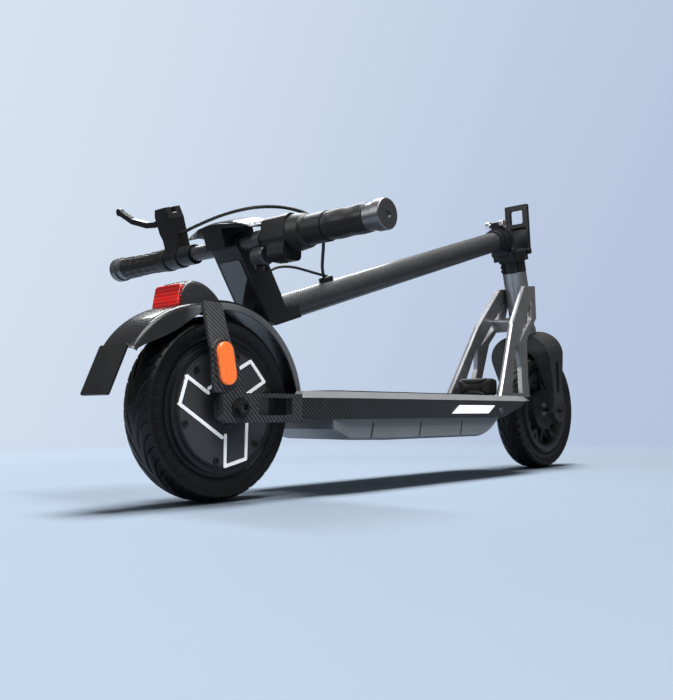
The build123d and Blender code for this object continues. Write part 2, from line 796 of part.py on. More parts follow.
plate_up = turned(90 - plate_tilt)
plate_foot = Vector(rear_x - plate_reach, 0, plate_low)
plate_plane = Plane(origin=plate_foot, x_dir=(0, 1, 0), z_dir=turned(-plate_tilt))
with BuildPart() as plate_holder:
    with BuildSketch(plate_plane):
        with Locations((0, plate_length / 2)):
            RectangleRounded(plate_width, plate_length, 3)
    extrude(amount=plate_thickness)
    with BuildSketch(side_plane(0, rear_x, 0)):
        with BuildLine():
            Polyline((-160, 190), (-148, 191), (-144, 198), (-150, 201), (-155.3, 200.5), close=True)
        make_face()
    extrude(amount=14, both=True)
    with BuildSketch(fender_plane):
        make_face(fender_outline(0))
    extrude(amount=80, both=True, mode=Mode.SUBTRACT)
save(plate_holder, "plate_holder")


# ================================================================================================
# Kickstand, under the left rear of the deck
# ================================================================================================
stand_pivot = Vector(rear_x + 150, 84, 100)
stand_foot = Vector(rear_x + 118, 140, 3.5)
stand_arm = stand_foot - stand_pivot
stand_axis = Vector(0, -0.864, -0.504)
stand_x = Vector(1, 0, 0)
stand_plane = Plane(origin=stand_pivot, x_dir=stand_x, z_dir=stand_axis)
eye_half = 6.7
with BuildPart() as kickstand_bracket:
    with BuildSketch(stand_plane.offset(eye_half + side_gap)):
        Circle(9)
        Rectangle(18, 40, align=(Align.CENTER, Align.MIN))
    extrude(amount=7)
    with BuildSketch(stand_plane.offset(-eye_half - 3)):
        Circle(4)
    extrude(amount=2 * eye_half + 8)
    with BuildSketch(stand_plane.offset(-eye_half - side_gap)):
        Circle(7)
    extrude(amount=-3)
    with BuildSketch(Plane.XY.offset(deck_low)):
        with Locations((rear_x + 150, 60)):
            Rectangle(36, 22)
    extrude(amount=-4)
    with BuildSketch(Plane.XY.offset(deck_low)):
        Rectangle(3000, 400)
    extrude(amount=60, mode=Mode.SUBTRACT)
save(kickstand_bracket, "kickstand_bracket")

with BuildPart() as kickstand:
    with BuildSketch(stand_plane.offset(-eye_half)):
        Circle(9)
    extrude(amount=2 * eye_half)
    leg_plane = Plane(origin=stand_pivot, x_dir=(1, 0, 0), z_dir=stand_arm)
    with BuildSketch(leg_plane.offset(4)):
        Circle(6)
    extrude(amount=stand_arm.length - 6)
    with BuildSketch(Plane.XY):
        with Locations((stand_foot.X, stand_foot.Y)):
            Circle(13)
    extrude(amount=7)
    with BuildSketch(stand_plane.offset(-20)):
        Circle(4 + running)
    extrude(amount=40, mode=Mode.SUBTRACT)
    with BuildSketch(Plane.XY):
        Rectangle(3000, 600)
    extrude(amount=-30, mode=Mode.SUBTRACT)
save(kickstand, "kickstand")


# ================================================================================================
# Stem, neck and handlebar
# ================================================================================================
flange_radius = 29.0
tube_start = 12.0
with BuildPart() as stem_flange:
    with BuildSketch(stem_axis.offset(side_gap)):
        Circle(flange_radius)
    extrude(amount=10)
    with BuildSketch(stem_axis.offset(side_gap + 10)):
        Circle(26)
    extrude(amount=16)
    with BuildSketch(stem_axis.offset(side_gap + 26)):
        Circle(23.5)
    extrude(amount=14)
    with BuildSketch(stem_side):
        Circle(knuckle_radius)
        with Locations((6, 5.3)):
            Rectangle(12, 10)
    extrude(amount=ear_inner - side_gap, both=True)
    for side in (-1, 1):
        with BuildSketch(stem_side.offset(-side * (ear_inner - side_gap))):
            Circle(knuckle_radius + 0.8)
        extrude(amount=-side * 20, mode=Mode.SUBTRACT)
    with BuildSketch(stem_side):
        Circle(pin_radius + running)
    extrude(amount=40, both=True, mode=Mode.SUBTRACT)
    with BuildSketch(stem_side):
        with Locations((hinge_offset + flange_radius + 1, 15)):
            Rectangle(16, 9)
    extrude(amount=9, both=True)
    with BuildSketch(stem_axis.offset(tube_start)):
        Circle(stem_radius)
    extrude(amount=60, mode=Mode.SUBTRACT)
    with BuildSketch(stem_side):
        with Locations((hinge_offset + flange_radius + 5, 15)):
            Circle(3)
    extrude(amount=20, both=True, mode=Mode.SUBTRACT)
save(stem_flange, "stem_flange")

with BuildPart() as striker:
    with BuildSketch(stem_side):
        with Locations((hinge_offset + flange_radius + 5, 15)):
            Circle(3)
    extrude(amount=20, both=True)
    for side in (-1, 1):
        with BuildSketch(stem_side.offset(-side * 12)):
            with Locations((hinge_offset + flange_radius + 5, 15)):
                Circle(6.5)
        extrude(amount=-side * 9)
save(striker, "striker")

with BuildPart() as stem_tube:
    with BuildSketch(stem_axis.offset(tube_start)):
        Circle(stem_radius)
        Circle(stem_radius - stem_wall, mode=Mode.SUBTRACT)
    extrude(amount=stem_end - tube_start)
save(stem_tube, "stem_tube")

neck_head = 15.0
with BuildPart() as neck:
    with BuildSketch(stem_side):
        with BuildLine():
            Polyline((12, 672), (12, 727), (20, 738), (131, 766), (136, 738), (106, 716), (53, 703),
                     (34, 700), (30, 672), close=True)
        make_face()
        with Locations((bar_forward, bar_height)):
            Circle(neck_head)
    extrude(amount=neck_half, both=True)
    with BuildSketch(stem_axis.offset(tube_start)):
        Circle(stem_radius)
    extrude(amount=stem_end - tube_start, mode=Mode.SUBTRACT)
    with BuildSketch(stem_side):
        with Locations((bar_forward, bar_height)):
            Circle(bar_radius)
    extrude(amount=neck_half, both=True, mode=Mode.SUBTRACT)
save(neck, "neck")

display_normal = (stem_a * 111 - stem_b * 28).normalized()
display_plane = Plane(origin=stem_point(75.5, 752), x_dir=(0, 1, 0), z_dir=display_normal)
with BuildPart() as display_glass:
    with BuildSketch(display_plane):
        RectangleRounded(44, 84, 5)
    extrude(amount=1.4)
save(display_glass, "display_glass")

with BuildPart() as handlebar:
    with BuildSketch(side_plane(0, bar_x, bar_z)):
        Circle(bar_radius)
        Circle(bar_radius - 2.2, mode=Mode.SUBTRACT)
    extrude(amount=272, both=True)
save(handlebar, "handlebar")


def sleeve(name, y_start, y_end, radii, bore):
    """Turned sleeve on the bar: radii is a list of (distance from y_start, radius)."""
    run = 1 if y_end > y_start else -1
    with BuildPart() as turned_sleeve:
        with BuildSketch(Plane(origin=(bar_x, y_start, bar_z), x_dir=(0, run, 0), z_dir=(run, 0, 0))):
            with BuildLine():
                points = [(0, bore)] + [(d, r) for d, r in radii] + [(abs(y_end - y_start), bore)]
                Polyline(*points, close=True)
            make_face()
        revolve(axis=across(bar_centre))
    save(turned_sleeve, name)


sleeve("throttle_sleeve", -130.5, -189.7, [(0, 24), (4, 25), (22, 23), (26, 20), (59.2, 20)], bar_radius + running)
sleeve("right_grip", -190.2, -258, [(0, 19), (3, 19.5), (62, 18), (67.8, 17)], bar_radius)
sleeve("left_grip", 142, 258, [(0, 18), (6, 18.5), (12, 16.5), (60, 17.5), (110, 16), (116, 17)], bar_radius)

with BuildPart() as bar_end_caps:
    for side in (-1, 1):
        with BuildSketch(side_plane(side * 258, bar_x, bar_z)):
            Circle(17.5)
            Circle(bar_radius, mode=Mode.SUBTRACT)
        extrude(amount=-side * 14)
        with BuildSketch(side_plane(side * 272, bar_x, bar_z)):
            Circle(19.5)
        extrude(amount=-side * (bar_half - 272))
    fillet(bar_end_caps.faces().sort_by(Axis.Y)[0].edges(), 2)
    fillet(bar_end_caps.faces().sort_by(Axis.Y)[-1].edges(), 2)
    for side in (-1, 1):
        with BuildSketch(side_plane(side * bar_half, bar_x, bar_z)):
            Circle(5)
        extrude(amount=side * 2, mode=Mode.SUBTRACT)
save(bar_end_caps, "bar_end_caps")

horn_radius = 6.0
horn_pocket = 5.0
horn_travel = 1.5
horn_plane = Plane(origin=(bar_x - 6, -114, bar_z - 37), z_dir=(0, 0, -1))
with BuildPart() as throttle_housing:
    with BuildSketch(side_plane(-84, bar_x, bar_z)):
        with Locations((2, 3)):
            RectangleRounded(46, 46, 14)
    extrude(amount=46)
    with BuildSketch(side_plane(-98, bar_x, bar_z)):
        with Locations((-6, -24)):
            RectangleRounded(34, 26, 8)
    extrude(amount=31.5)
    with BuildSketch(side_plane(0, bar_x, bar_z)):
        Circle(bar_radius)
    extrude(amount=200, both=True, mode=Mode.SUBTRACT)
    with BuildSketch(horn_plane):
        Circle(horn_radius + side_gap)
    extrude(amount=-horn_pocket, mode=Mode.SUBTRACT)
save(throttle_housing, "throttle_housing")

with BuildPart() as horn_button:
    with BuildSketch(horn_plane.offset(-horn_pocket + horn_travel + 1)):
        Circle(horn_radius)
    extrude(amount=horn_pocket - horn_travel + 0.8)
    fillet(horn_button.faces().sort_by(Axis.Z)[0].edges(), 1)
save(horn_button, "horn_button")

# bell under the bar, beside the throttle housing
bell_centre = Vector(bar_x - 4, -70, bar_z - 24)
striker_pin = 0.8
striker_roll = 1.6
striker_half = 3.0
lug_thickness = 2.0
striker_origin = bell_centre + Vector(0, 9, -15.2)
striker_side = Plane(origin=striker_origin, x_dir=(0, 1, 0), z_dir=(1, 0, 0))
with BuildPart() as bell:
    with BuildSketch(side_plane(-58, bar_x, bar_z)):
        Circle(14)
    extrude(amount=12)
    with BuildSketch(side_plane(-58, bell_centre.X, bell_centre.Z)):
        Circle(13)
    extrude(amount=22)
    fillet(bell.faces().sort_by(Axis.Y)[0].edges(), 3)
    with BuildSketch(side_plane(0, bar_x, bar_z)):
        Circle(bar_radius)
    extrude(amount=200, both=True, mode=Mode.SUBTRACT)
    with BuildSketch(striker_side):
        Circle(striker_pin)
    extrude(amount=striker_half + lug_thickness, both=True)
    for side in (-1, 1):
        with BuildSketch(striker_side.offset(side * (striker_half + side_gap))):
            Circle(striker_roll)
            Rectangle(2 * striker_roll, 6, align=(Align.CENTER, Align.MIN))
        extrude(amount=side * lug_thickness)
save(bell, "bell")

with BuildPart() as bell_striker:
    with BuildSketch(striker_side):
        Circle(striker_roll)
        Rectangle(17, 1.5, align=(Align.MAX, Align.CENTER))
    extrude(amount=striker_half, both=True)
    with BuildSketch(Plane(origin=striker_origin + Vector(0, -15, 0), z_dir=(0, 0, -1))):
        Circle(4)
    extrude(amount=7)
    with BuildSketch(striker_side):
        Circle(striker_pin + running)
    extrude(amount=striker_half, both=True, mode=Mode.SUBTRACT)
save(bell_striker, "bell_striker")

# brake perch: clamp, collar and the slotted tower that holds the lever
perch_plane = Plane(origin=bar_centre, x_dir=(0, 1, 0), z_dir=-stem_a)
lever_pivot = Vector(128, 70)
with BuildPart() as brake_perch:
    with BuildSketch(side_plane(140, bar_x, bar_z)):
        Circle(17)
    extrude(amount=28)
    with BuildSketch(side_plane(112, bar_x, bar_z)):
        Circle(15)
    extrude(amount=30)
    with BuildSketch(perch_plane):
        with BuildLine():
            Polyline((108, 0), (106, 60), (110, 77), (136, 77), (140, 66), (138, 40), (134, 30), (134, 0),
                     close=True)
        make_face()
    extrude(amount=14, both=True)
    with BuildSketch(perch_plane):
        with Locations((130, 62)):
            Rectangle(44, 34)
    extrude(amount=4.3, both=True, mode=Mode.SUBTRACT)
    with BuildSketch(side_plane(0, bar_x, bar_z)):
        Circle(bar_radius)
    extrude(amount=200, both=True, mode=Mode.SUBTRACT)
    with BuildSketch(perch_plane):
        with Locations(lever_pivot):
            Circle(3)
    extrude(amount=14, both=True)
save(brake_perch, "brake_perch")

with BuildPart() as brake_lever:
    with BuildSketch(perch_plane):
        with BuildLine():
            spine = Polyline((128, 70), (141, 59), (160, 56.5), (180, 59), (215, 71), (243, 90))
            offset(amount=4.4, side=Side.BOTH, closed=True)
        make_face()
        with Locations((243, 90)):
            Circle(6)
        with Locations(lever_pivot):
            Circle(7)
            Circle(3 + running, mode=Mode.SUBTRACT)
    extrude(amount=4, both=True)
save(brake_lever, "brake_lever")

# headlamp wing in front of the bar
wing_plane = Plane(origin=bar_centre, x_dir=(0, 1, 0), z_dir=-stem_a)
wing_plan = Plane(origin=bar_centre, x_dir=(0, 1, 0), z_dir=stem_b)
with BuildPart() as headlamp_shell:
    with BuildSketch(wing_plane):
        with BuildLine():
            over = ThreePointArc((-68.5, 21), (0, 35), (68.5, 21))
            drop = Line(over @ 1, (66, 17))
            under = ThreePointArc(drop @ 1, (0, 29), (-66, 17))
            Line(under @ 1, over @ 0)
        make_face()
        Rectangle(40, 30, align=(Align.CENTER, Align.MIN))
    extrude(amount=32, both=True)
    with BuildSketch(wing_plan):
        with BuildLine():
            Polyline((-69, -20), (-60, -30), (60, -30), (69, -20), (52, 16), (30, 30), (-30, 30), (-52, 16),
                     close=True)
        make_face()
    extrude(amount=90, mode=Mode.INTERSECT)
    with BuildSketch(stem_side):
        with Locations((bar_forward, bar_height)):
            Circle(neck_head)
    extrude(amount=100, both=True, mode=Mode.SUBTRACT)
save(headlamp_shell, "headlamp_shell")

with BuildPart() as headlamp_lens:
    with BuildSketch(wing_plane):
        with BuildLine():
            over = ThreePointArc((-60, 26.5), (0, 37), (60, 26.5))
            near = Line(over @ 1, (68.5, 21))
            under = ThreePointArc(near @ 1, (0, 35), (-68.5, 21))
            Line(under @ 1, over @ 0)
        make_face()
    extrude(amount=20, both=True)
save(headlamp_lens, "headlamp_lens")


# ================================================================================================
# Cables along their real routes, into a grommet on top of the stem
# ================================================================================================
cable_radius = 2.5
lead_radius = 2.2
grommet_a = 570.0
grommet_top = hinge_offset + stem_radius + 7
with BuildPart() as cable_grommet:
    with BuildSketch(Plane(origin=stem_point(grommet_top, grommet_a), x_dir=stem_a, z_dir=stem_b)):
        SlotOverall(28, 14)
    extrude(amount=-16)
    fillet(cable_grommet.edges().filter_by(Axis((0, 0, 0), stem_b), reverse=True).sort_by(
        lambda e: (e.center() - pivot).dot(stem_b))[-4:], 2)
    with BuildSketch(stem_axis.offset(tube_start)):
        Circle(stem_radius)
    extrude(amount=stem_end - tube_start, mode=Mode.SUBTRACT)
save(cable_grommet, "cable_grommet")


def cord(name, radius, route):
    """Round cord along straight runs joined by tangent arcs, each as large as its runs allow."""
    points = [stem_point(b, a, y) for b, a, y in route]
    radii = []
    for before, corner, after in zip(points, points[1:], points[2:]):
        turn = (corner - before).get_angle(after - corner)
        run = min((corner - before).length, (after - corner).length)
        radii.append(0.45 * run / tan(radians(turn / 2)))
    print(name, "arc radii", [round(r, 1) for r in radii])
    with BuildPart() as tube:
        with BuildLine() as path:
            FilletPolyline(*points, radius=radii)
        with BuildSketch(Plane(origin=path.line @ 0, z_dir=path.line % 0)):
            Circle(radius)
        sweep()
    run_length = sum(edge.length for edge in path.edges())
    print(name, "length", round(run_length, 1), "volume over section times length",
          round(tube.part.volume / (3.14159265 * radius ** 2 * run_length), 4))
    save(tube, name)


# each point is b, a and y in the stem frame
cord("brake_cable", cable_radius, [
    (170.5, 752.3, 105.5), (174.5, 752, 84), (179, 750, 50), (183, 748, 12), (184, 746, -28),
    (182, 742, -64), (174, 728, -98), (158, 704, -116), (137, 676, -110), (113, 651, -84),
    (91, 627, -54), (75, 603, -27), (64, 583, -8), (grommet_top, 576, -2)])
cord("display_lead", lead_radius, [
    (80, 710.6, 6), (88, 690, 6), (92, 662, 7), (86, 632, 6), (74, 604, 4), (64, 581, 2.5),
    (grommet_top, 564, 2)])
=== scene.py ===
import math

import bpy
import numpy as np
from mathutils import Matrix, Vector


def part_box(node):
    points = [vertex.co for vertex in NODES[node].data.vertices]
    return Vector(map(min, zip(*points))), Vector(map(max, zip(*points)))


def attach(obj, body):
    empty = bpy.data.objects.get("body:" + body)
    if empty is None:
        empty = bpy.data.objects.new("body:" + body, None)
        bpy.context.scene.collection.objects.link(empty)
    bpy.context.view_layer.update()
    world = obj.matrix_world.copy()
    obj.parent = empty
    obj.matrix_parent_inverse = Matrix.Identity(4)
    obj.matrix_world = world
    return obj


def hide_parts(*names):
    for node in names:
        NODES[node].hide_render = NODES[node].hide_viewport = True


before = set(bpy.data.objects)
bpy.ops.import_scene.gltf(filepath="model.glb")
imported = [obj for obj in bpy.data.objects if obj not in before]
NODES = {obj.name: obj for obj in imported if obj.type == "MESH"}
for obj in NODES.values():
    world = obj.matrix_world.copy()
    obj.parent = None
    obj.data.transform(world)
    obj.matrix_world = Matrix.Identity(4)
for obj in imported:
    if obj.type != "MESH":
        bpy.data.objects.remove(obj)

bl_info = {
    "name": "Folding electric scooter",
    "version": (1, 0, 0),
    "blender": (4, 5, 0),
    "location": "View3D > Sidebar > Scooter",
    "description": "Tyres, grips, cables and finishes of a folding electric kick scooter",
    "category": "Add Mesh",
}


def middle_of(node):
    """Centre of a node's box, in metres."""
    low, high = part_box(node)
    return (low + high) / 2


REAR_HUB = middle_of("rear_tyre")
FRONT_HUB = middle_of("front_tyre")
TYRE_RADIUS = (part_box("rear_tyre")[1].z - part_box("rear_tyre")[0].z) / 2
RAKE_DEGREES = 15.0
RAKE = math.radians(RAKE_DEGREES)
FOLD = math.radians(92.8)
STEER_U = Vector((math.cos(RAKE), 0, math.sin(RAKE)))
STEER_W = Vector((-math.sin(RAKE), 0, math.cos(RAKE)))
STEM_B = Vector((math.cos(RAKE + FOLD), 0, math.sin(RAKE + FOLD)))
STEM_A = Vector((-math.sin(RAKE + FOLD), 0, math.cos(RAKE + FOLD)))
PIVOT = FRONT_HUB - STEER_U * 0.030 + STEER_W * 0.351
BAR = PIVOT + STEM_B * 0.1365 + STEM_A * 0.7523
STEM_LINE = PIVOT + STEM_B * 0.030
LEFT = Vector((0, 1, 0))
STEM_RADIUS = 0.0205
BAR_RADIUS = 0.0111
TYRE_HALF = 0.0317
BEAD_RADIUS = 0.0936
BEAD_HALF = 0.0240
GROOVE_START = 0.0035
GROOVE_SPAN = 0.0235
GROOVE_WRAP = 0.42
SIDEWALL_RINGS = (0.1095, 0.0985)
FENDER_RADIUS = 0.1475
COVER_GROOVE = 0.0787
PAN_SLITS = (0.2593, 0.3844, 0.5068)
LEFT_GRIP = (0.142, 0.258)
RIGHT_GRIP = (-0.258, -0.1902)
CAMERA_PLACE = (-1.14695, -0.8829, 0.1202)
CAMERA_YAW, CAMERA_PITCH, CAMERA_ROLL = 42.10, 4.415, 0.145
CAMERA_LENS = 41.83


# ------------------------------------------------------------------ settings
class ScooterFinishSettings(bpy.types.PropertyGroup):
    """Colours of the scooter's finishes."""

    # Painted light: the two carbon tow colours are a shaded grey for tows lying beneath and a lit grey for
    # tows on top.
    carbon_shaded_tow: bpy.props.FloatVectorProperty(
        name="Carbon shadow tow", description="Colour of the darker set of carbon tows",
        default=(0.004, 0.004, 0.0045), subtype="COLOR", size=3, min=0, max=1)
    carbon_lit_tow: bpy.props.FloatVectorProperty(
        name="Carbon lit tow", description="Colour of the lighter set of carbon tows",
        default=(0.085, 0.085, 0.090), subtype="COLOR", size=3, min=0, max=1)
    gunmetal: bpy.props.FloatVectorProperty(
        name="Gunmetal", description="Metallic paint of the head tube and struts",
        default=(0.34, 0.34, 0.352), subtype="COLOR", size=3, min=0, max=1)
    pan_grey: bpy.props.FloatVectorProperty(
        name="Belly pan grey", description="Satin paint of the battery cover",
        default=(0.25, 0.25, 0.258), subtype="COLOR", size=3, min=0, max=1)
    amber: bpy.props.FloatVectorProperty(
        name="Amber reflector", description="Clear plastic of the side reflectors on the fender",
        default=(0.92, 0.20, 0.045), subtype="COLOR", size=3, min=0, max=1)
    tail_red: bpy.props.FloatVectorProperty(
        name="Tail light red", description="Clear plastic of the tail light lens",
        default=(0.62, 0.012, 0.010), subtype="COLOR", size=3, min=0, max=1)
    tow: bpy.props.FloatProperty(
        name="Tow width", description="Width of one carbon tow in the weave",
        default=0.0016, min=0.0005, max=0.006, unit="LENGTH")


class ScooterTyreSettings(bpy.types.PropertyGroup):
    """Tread of the two tyres."""

    groove_depth: bpy.props.FloatProperty(
        name="Groove depth", description="Depth of the tread grooves",
        default=0.0024, min=0, max=0.006, unit="LENGTH")
    rear_grooves: bpy.props.IntProperty(
        name="Rear grooves", description="Sweeping grooves on each side of the rear tread",
        default=22, min=6, max=80)
    front_grooves: bpy.props.IntProperty(
        name="Front grooves", description="Sweeping grooves on each side of the front tread",
        default=22, min=6, max=80)


class ScooterStudioSettings(bpy.types.PropertyGroup):
    """Backdrop and lamps."""

    backdrop: bpy.props.FloatVectorProperty(
        name="Backdrop", description="Pale colour high on the backdrop",
        default=(0.68, 0.77, 0.885), subtype="COLOR", size=3, min=0, max=1)
    backdrop_low: bpy.props.FloatVectorProperty(
        name="Backdrop foot", description="Deeper colour low on the backdrop",
        default=(0.46, 0.555, 0.73), subtype="COLOR", size=3, min=0, max=1)
    floor: bpy.props.FloatVectorProperty(
        name="Floor", description="Colour of the plaster floor",
        default=(0.36, 0.437, 0.535), subtype="COLOR", size=3, min=0, max=1)
    key_power: bpy.props.FloatProperty(
        name="Key power", description="Power of the main soft lamp, in watts", default=66, min=0, max=2000)
    rim_power: bpy.props.FloatProperty(
        name="Rim power", description="Power of the lamp behind the scooter, in watts",
        default=52, min=0, max=2000)
    top_power: bpy.props.FloatProperty(
        name="Top power", description="Power of the overhead lamp that grounds the scooter, in watts",
        default=200, min=0, max=2000)
    world_power: bpy.props.FloatProperty(
        name="Room light", description="Strength of the even light from all sides",
        default=0.11, min=0, max=5)


# ------------------------------------------------------------------ node sheets
class NodeSheet:
    """Adds shader nodes and joins them, so that a finish reads as a formula."""

    def __init__(self, tree):
        self.tree = tree

    def add(self, kind, **settings):
        node = self.tree.nodes.new(kind)
        for name, value in settings.items():
            setattr(node, name, value)
        return node

    def feed(self, socket, value):
        if isinstance(value, bpy.types.NodeSocket):
            self.tree.links.new(value, socket)
        else:
            socket.default_value = value

    def math(self, operation, *values, clamp=False):
        node = self.add("ShaderNodeMath", operation=operation, use_clamp=clamp)
        for socket, value in zip(node.inputs, values):
            self.feed(socket, value)
        return node.outputs[0]

    def times(self, first, second, clamp=False):
        return self.math("MULTIPLY", first, second, clamp=clamp)

    def plus(self, first, second, clamp=False):
        return self.math("ADD", first, second, clamp=clamp)

    def minus(self, first, second):
        return self.math("SUBTRACT", first, second)

    def rest(self, share):
        """What is left of one without the share."""
        return self.math("SUBTRACT", 1.0, share)

    def vector(self, operation, *values):
        node = self.add("ShaderNodeVectorMath", operation=operation)
        for socket, value in zip(node.inputs, values):
            self.feed(socket, value)
        return node.outputs["Value" if operation in ("DOT_PRODUCT", "LENGTH") else "Vector"]

    def mix(self, share, first, second):
        node = self.add("ShaderNodeMix", data_type="RGBA")
        self.feed(node.inputs[0], share)
        self.feed(node.inputs[6], first if isinstance(first, bpy.types.NodeSocket) else (*first, 1)[:4])
        self.feed(node.inputs[7], second if isinstance(second, bpy.types.NodeSocket) else (*second, 1)[:4])
        return node.outputs[2]

    def blend(self, share, first, second):
        node = self.add("ShaderNodeMix", data_type="FLOAT")
        for place, value in ((0, share), (2, first), (3, second)):
            self.feed(node.inputs[place], value)
        return node.outputs[0]

    def step(self, value, low, high):
        """Smooth step of value from 0 at low to 1 at high."""
        node = self.add("ShaderNodeMapRange", interpolation_type="SMOOTHSTEP")
        for place, number in enumerate((value, low, high, 0.0, 1.0)):
            self.feed(node.inputs[place], number)
        return node.outputs[0]

    def noise(self, vector, scale, detail=2.0, roughness=0.5):
        node = self.add("ShaderNodeTexNoise")
        self.feed(node.inputs["Vector"], vector)
        node.inputs["Scale"].default_value = scale
        node.inputs["Detail"].default_value = detail
        node.inputs["Roughness"].default_value = roughness
        return node.outputs["Fac"]

    def triple(self, value):
        """The same number three times, as a vector."""
        node = self.add("ShaderNodeCombineXYZ")
        for socket in node.inputs:
            self.feed(socket, value)
        return node.outputs[0]

    def parts(self, vector):
        node = self.add("ShaderNodeSeparateXYZ")
        self.feed(node.inputs[0], vector)
        return node.outputs

    def from_axle(self, place, centre):
        """Distance from the line through centre that runs along Y."""
        away = self.parts(self.vector("SUBTRACT", place, tuple(centre)))
        squares = self.plus(self.times(away[0], away[0]), self.times(away[2], away[2]))
        return self.math("SQRT", squares)


def new_group(name, inputs, outputs):
    """Empty shader group with named inputs and outputs, ready for its nodes."""
    group = bpy.data.node_groups.new(name, "ShaderNodeTree")
    for label, kind, value in inputs:
        socket = group.interface.new_socket(name=label, in_out="INPUT", socket_type=kind)
        if value is not None:
            socket.default_value = value
    for label, kind in outputs:
        group.interface.new_socket(name=label, in_out="OUTPUT", socket_type=kind)
    sheet = NodeSheet(group)
    return group, sheet, sheet.add("NodeGroupInput").outputs, sheet.add("NodeGroupOutput").inputs


def twill_group():
    """Two-over-two twill of crossing tows.

    Tow numbers are the whole parts of along/tow and across/tow. A warp tow lies on top where
    their sum, modulo four, is under two. Height is the round crown of the tow on top, highest
    in its middle and lowest at its edges. Shade is that crown again as painted shade, lighter
    in the middle of each tow and darker at its edges, times a random grey for each block of
    four by four tows.
    """
    group, sheet, given, made = new_group(
        "carbon_twill",
        [("Along", "NodeSocketFloat", 0.0), ("Across", "NodeSocketFloat", 0.0),
         ("Tow", "NodeSocketFloat", 0.002)],
        [("Warp", "NodeSocketFloat"), ("Height", "NodeSocketFloat"), ("Shade", "NodeSocketFloat")])
    u = sheet.math("DIVIDE", given["Along"], given["Tow"])
    v = sheet.math("DIVIDE", given["Across"], given["Tow"])
    total = sheet.plus(sheet.math("FLOOR", u), sheet.math("FLOOR", v))
    warp = sheet.math("LESS_THAN", sheet.math("FLOORED_MODULO", total, 4.0), 2.0)
    crowns = []
    for place in (v, u):
        centred = sheet.minus(sheet.math("FRACT", place), 0.5)
        crowns.append(sheet.rest(sheet.times(sheet.times(centred, centred), 4.0)))
    height = sheet.blend(warp, crowns[1], crowns[0])
    sheet.feed(made["Warp"], warp)
    sheet.feed(made["Height"], height)
    joined = sheet.add("ShaderNodeCombineXYZ")
    sheet.feed(joined.inputs[0], sheet.math("FLOOR", sheet.times(u, 0.25)))
    sheet.feed(joined.inputs[1], sheet.math("FLOOR", sheet.times(v, 0.25)))
    speck = sheet.add("ShaderNodeTexWhiteNoise", noise_dimensions="2D")
    sheet.feed(speck.inputs[0], joined.outputs[0])
    sheet.feed(made["Shade"], sheet.times(height, sheet.blend(speck.outputs["Value"], 0.8, 1.0)))
    return group


def grain_group():
    """Fine moulded or sprayed grain: two sizes of noise, with slow blotches for worn sheen."""
    group, sheet, given, made = new_group(
        "fine_grain",
        [("Place", "NodeSocketVector", None), ("Size", "NodeSocketFloat", 1.0)],
        [("Height", "NodeSocketFloat"), ("Blotch", "NodeSocketFloat"), ("Scratch", "NodeSocketFloat")])
    place = sheet.vector("SCALE", given["Place"])
    scaled = place.node
    sheet.feed(scaled.inputs["Scale"], given["Size"])
    fine = sheet.noise(place, 1400.0, 3.0, 0.6)
    coarse = sheet.noise(place, 420.0, 2.0, 0.5)
    sheet.feed(made["Height"], sheet.blend(0.5, fine, coarse))
    sheet.feed(made["Blotch"], sheet.noise(given["Place"], 22.0, 4.0, 0.55))
    stretched = sheet.vector("MULTIPLY", given["Place"], (30.0, 900.0, 700.0))
    streak = sheet.noise(stretched, 1.0, 2.0, 0.6)
    sheet.feed(made["Scratch"], sheet.step(streak, 0.62, 0.74))
    return group


GROUPS = {}


def use_group(sheet, name, **values):
    """Places a shared effect in a material and returns its outputs."""
    if name not in GROUPS:
        GROUPS[name] = {"carbon_twill": twill_group, "fine_grain": grain_group}[name]()
    node = sheet.add("ShaderNodeGroup", node_tree=GROUPS[name])
    for label, value in values.items():
        sheet.feed(node.inputs[label], value)
    return node.outputs


def grain_at(sheet, place, size=1.0):
    return use_group(sheet, "fine_grain", Place=place, Size=size)


MATERIALS = {}
EDGE_RADIUS = 0.0011


def finish(name, recipe, bump=0.0, **plain):
    """Material from a recipe that gives its changing sockets; the rest are plain numbers."""
    if name in MATERIALS:
        return MATERIALS[name]
    material = bpy.data.materials.new(name)
    material.use_nodes = True
    sheet = NodeSheet(material.node_tree)
    shader = material.node_tree.nodes["Principled BSDF"]
    coordinates = sheet.add("ShaderNodeTexCoord")
    for label, value in {"Specular_IOR_Level": 0.26, **plain}.items():
        shader.inputs[label.replace("_", " ")].default_value = value
    found = recipe(sheet, coordinates.outputs["Object"], coordinates.outputs["Normal"])
    height = found.pop("Height", None)
    for label, value in found.items():
        if not isinstance(value, bpy.types.NodeSocket) and label in ("Base Color", "Emission Color"):
            value = (*value, 1.0)[:4]
        sheet.feed(shader.inputs[label], value)
    if height is not None:
        node = sheet.add("ShaderNodeBump")
        node.inputs["Strength"].default_value = 1.0
        node.inputs["Distance"].default_value = bump
        sheet.feed(node.inputs["Height"], height)
        edge = sheet.add("ShaderNodeBevel", samples=4)
        edge.inputs["Radius"].default_value = EDGE_RADIUS
        sheet.feed(node.inputs["Normal"], edge.outputs[0])
        sheet.tree.links.new(node.outputs[0], shader.inputs["Normal"])
    MATERIALS[name] = material
    return material


def plane_coordinates(sheet, place, normal, turn=0.0):
    """Two coordinates in the face's plane: (x, z) on a side, (y, z) on an end, (x, y) elsewhere."""
    p, n = sheet.parts(place), sheet.parts(normal)
    facing = [sheet.math("ABSOLUTE", axis) for axis in n]
    side = sheet.math("GREATER_THAN", facing[1], 0.6)
    end = sheet.math("GREATER_THAN", facing[0], 0.75)
    first = sheet.blend(end, p[0], p[1])
    second = sheet.blend(sheet.math("MAXIMUM", side, end), p[1], p[2])
    c, s = math.cos(turn), math.sin(turn)
    along = sheet.plus(sheet.times(first, c), sheet.times(second, s))
    across = sheet.minus(sheet.times(second, c), sheet.times(first, s))
    return along, across


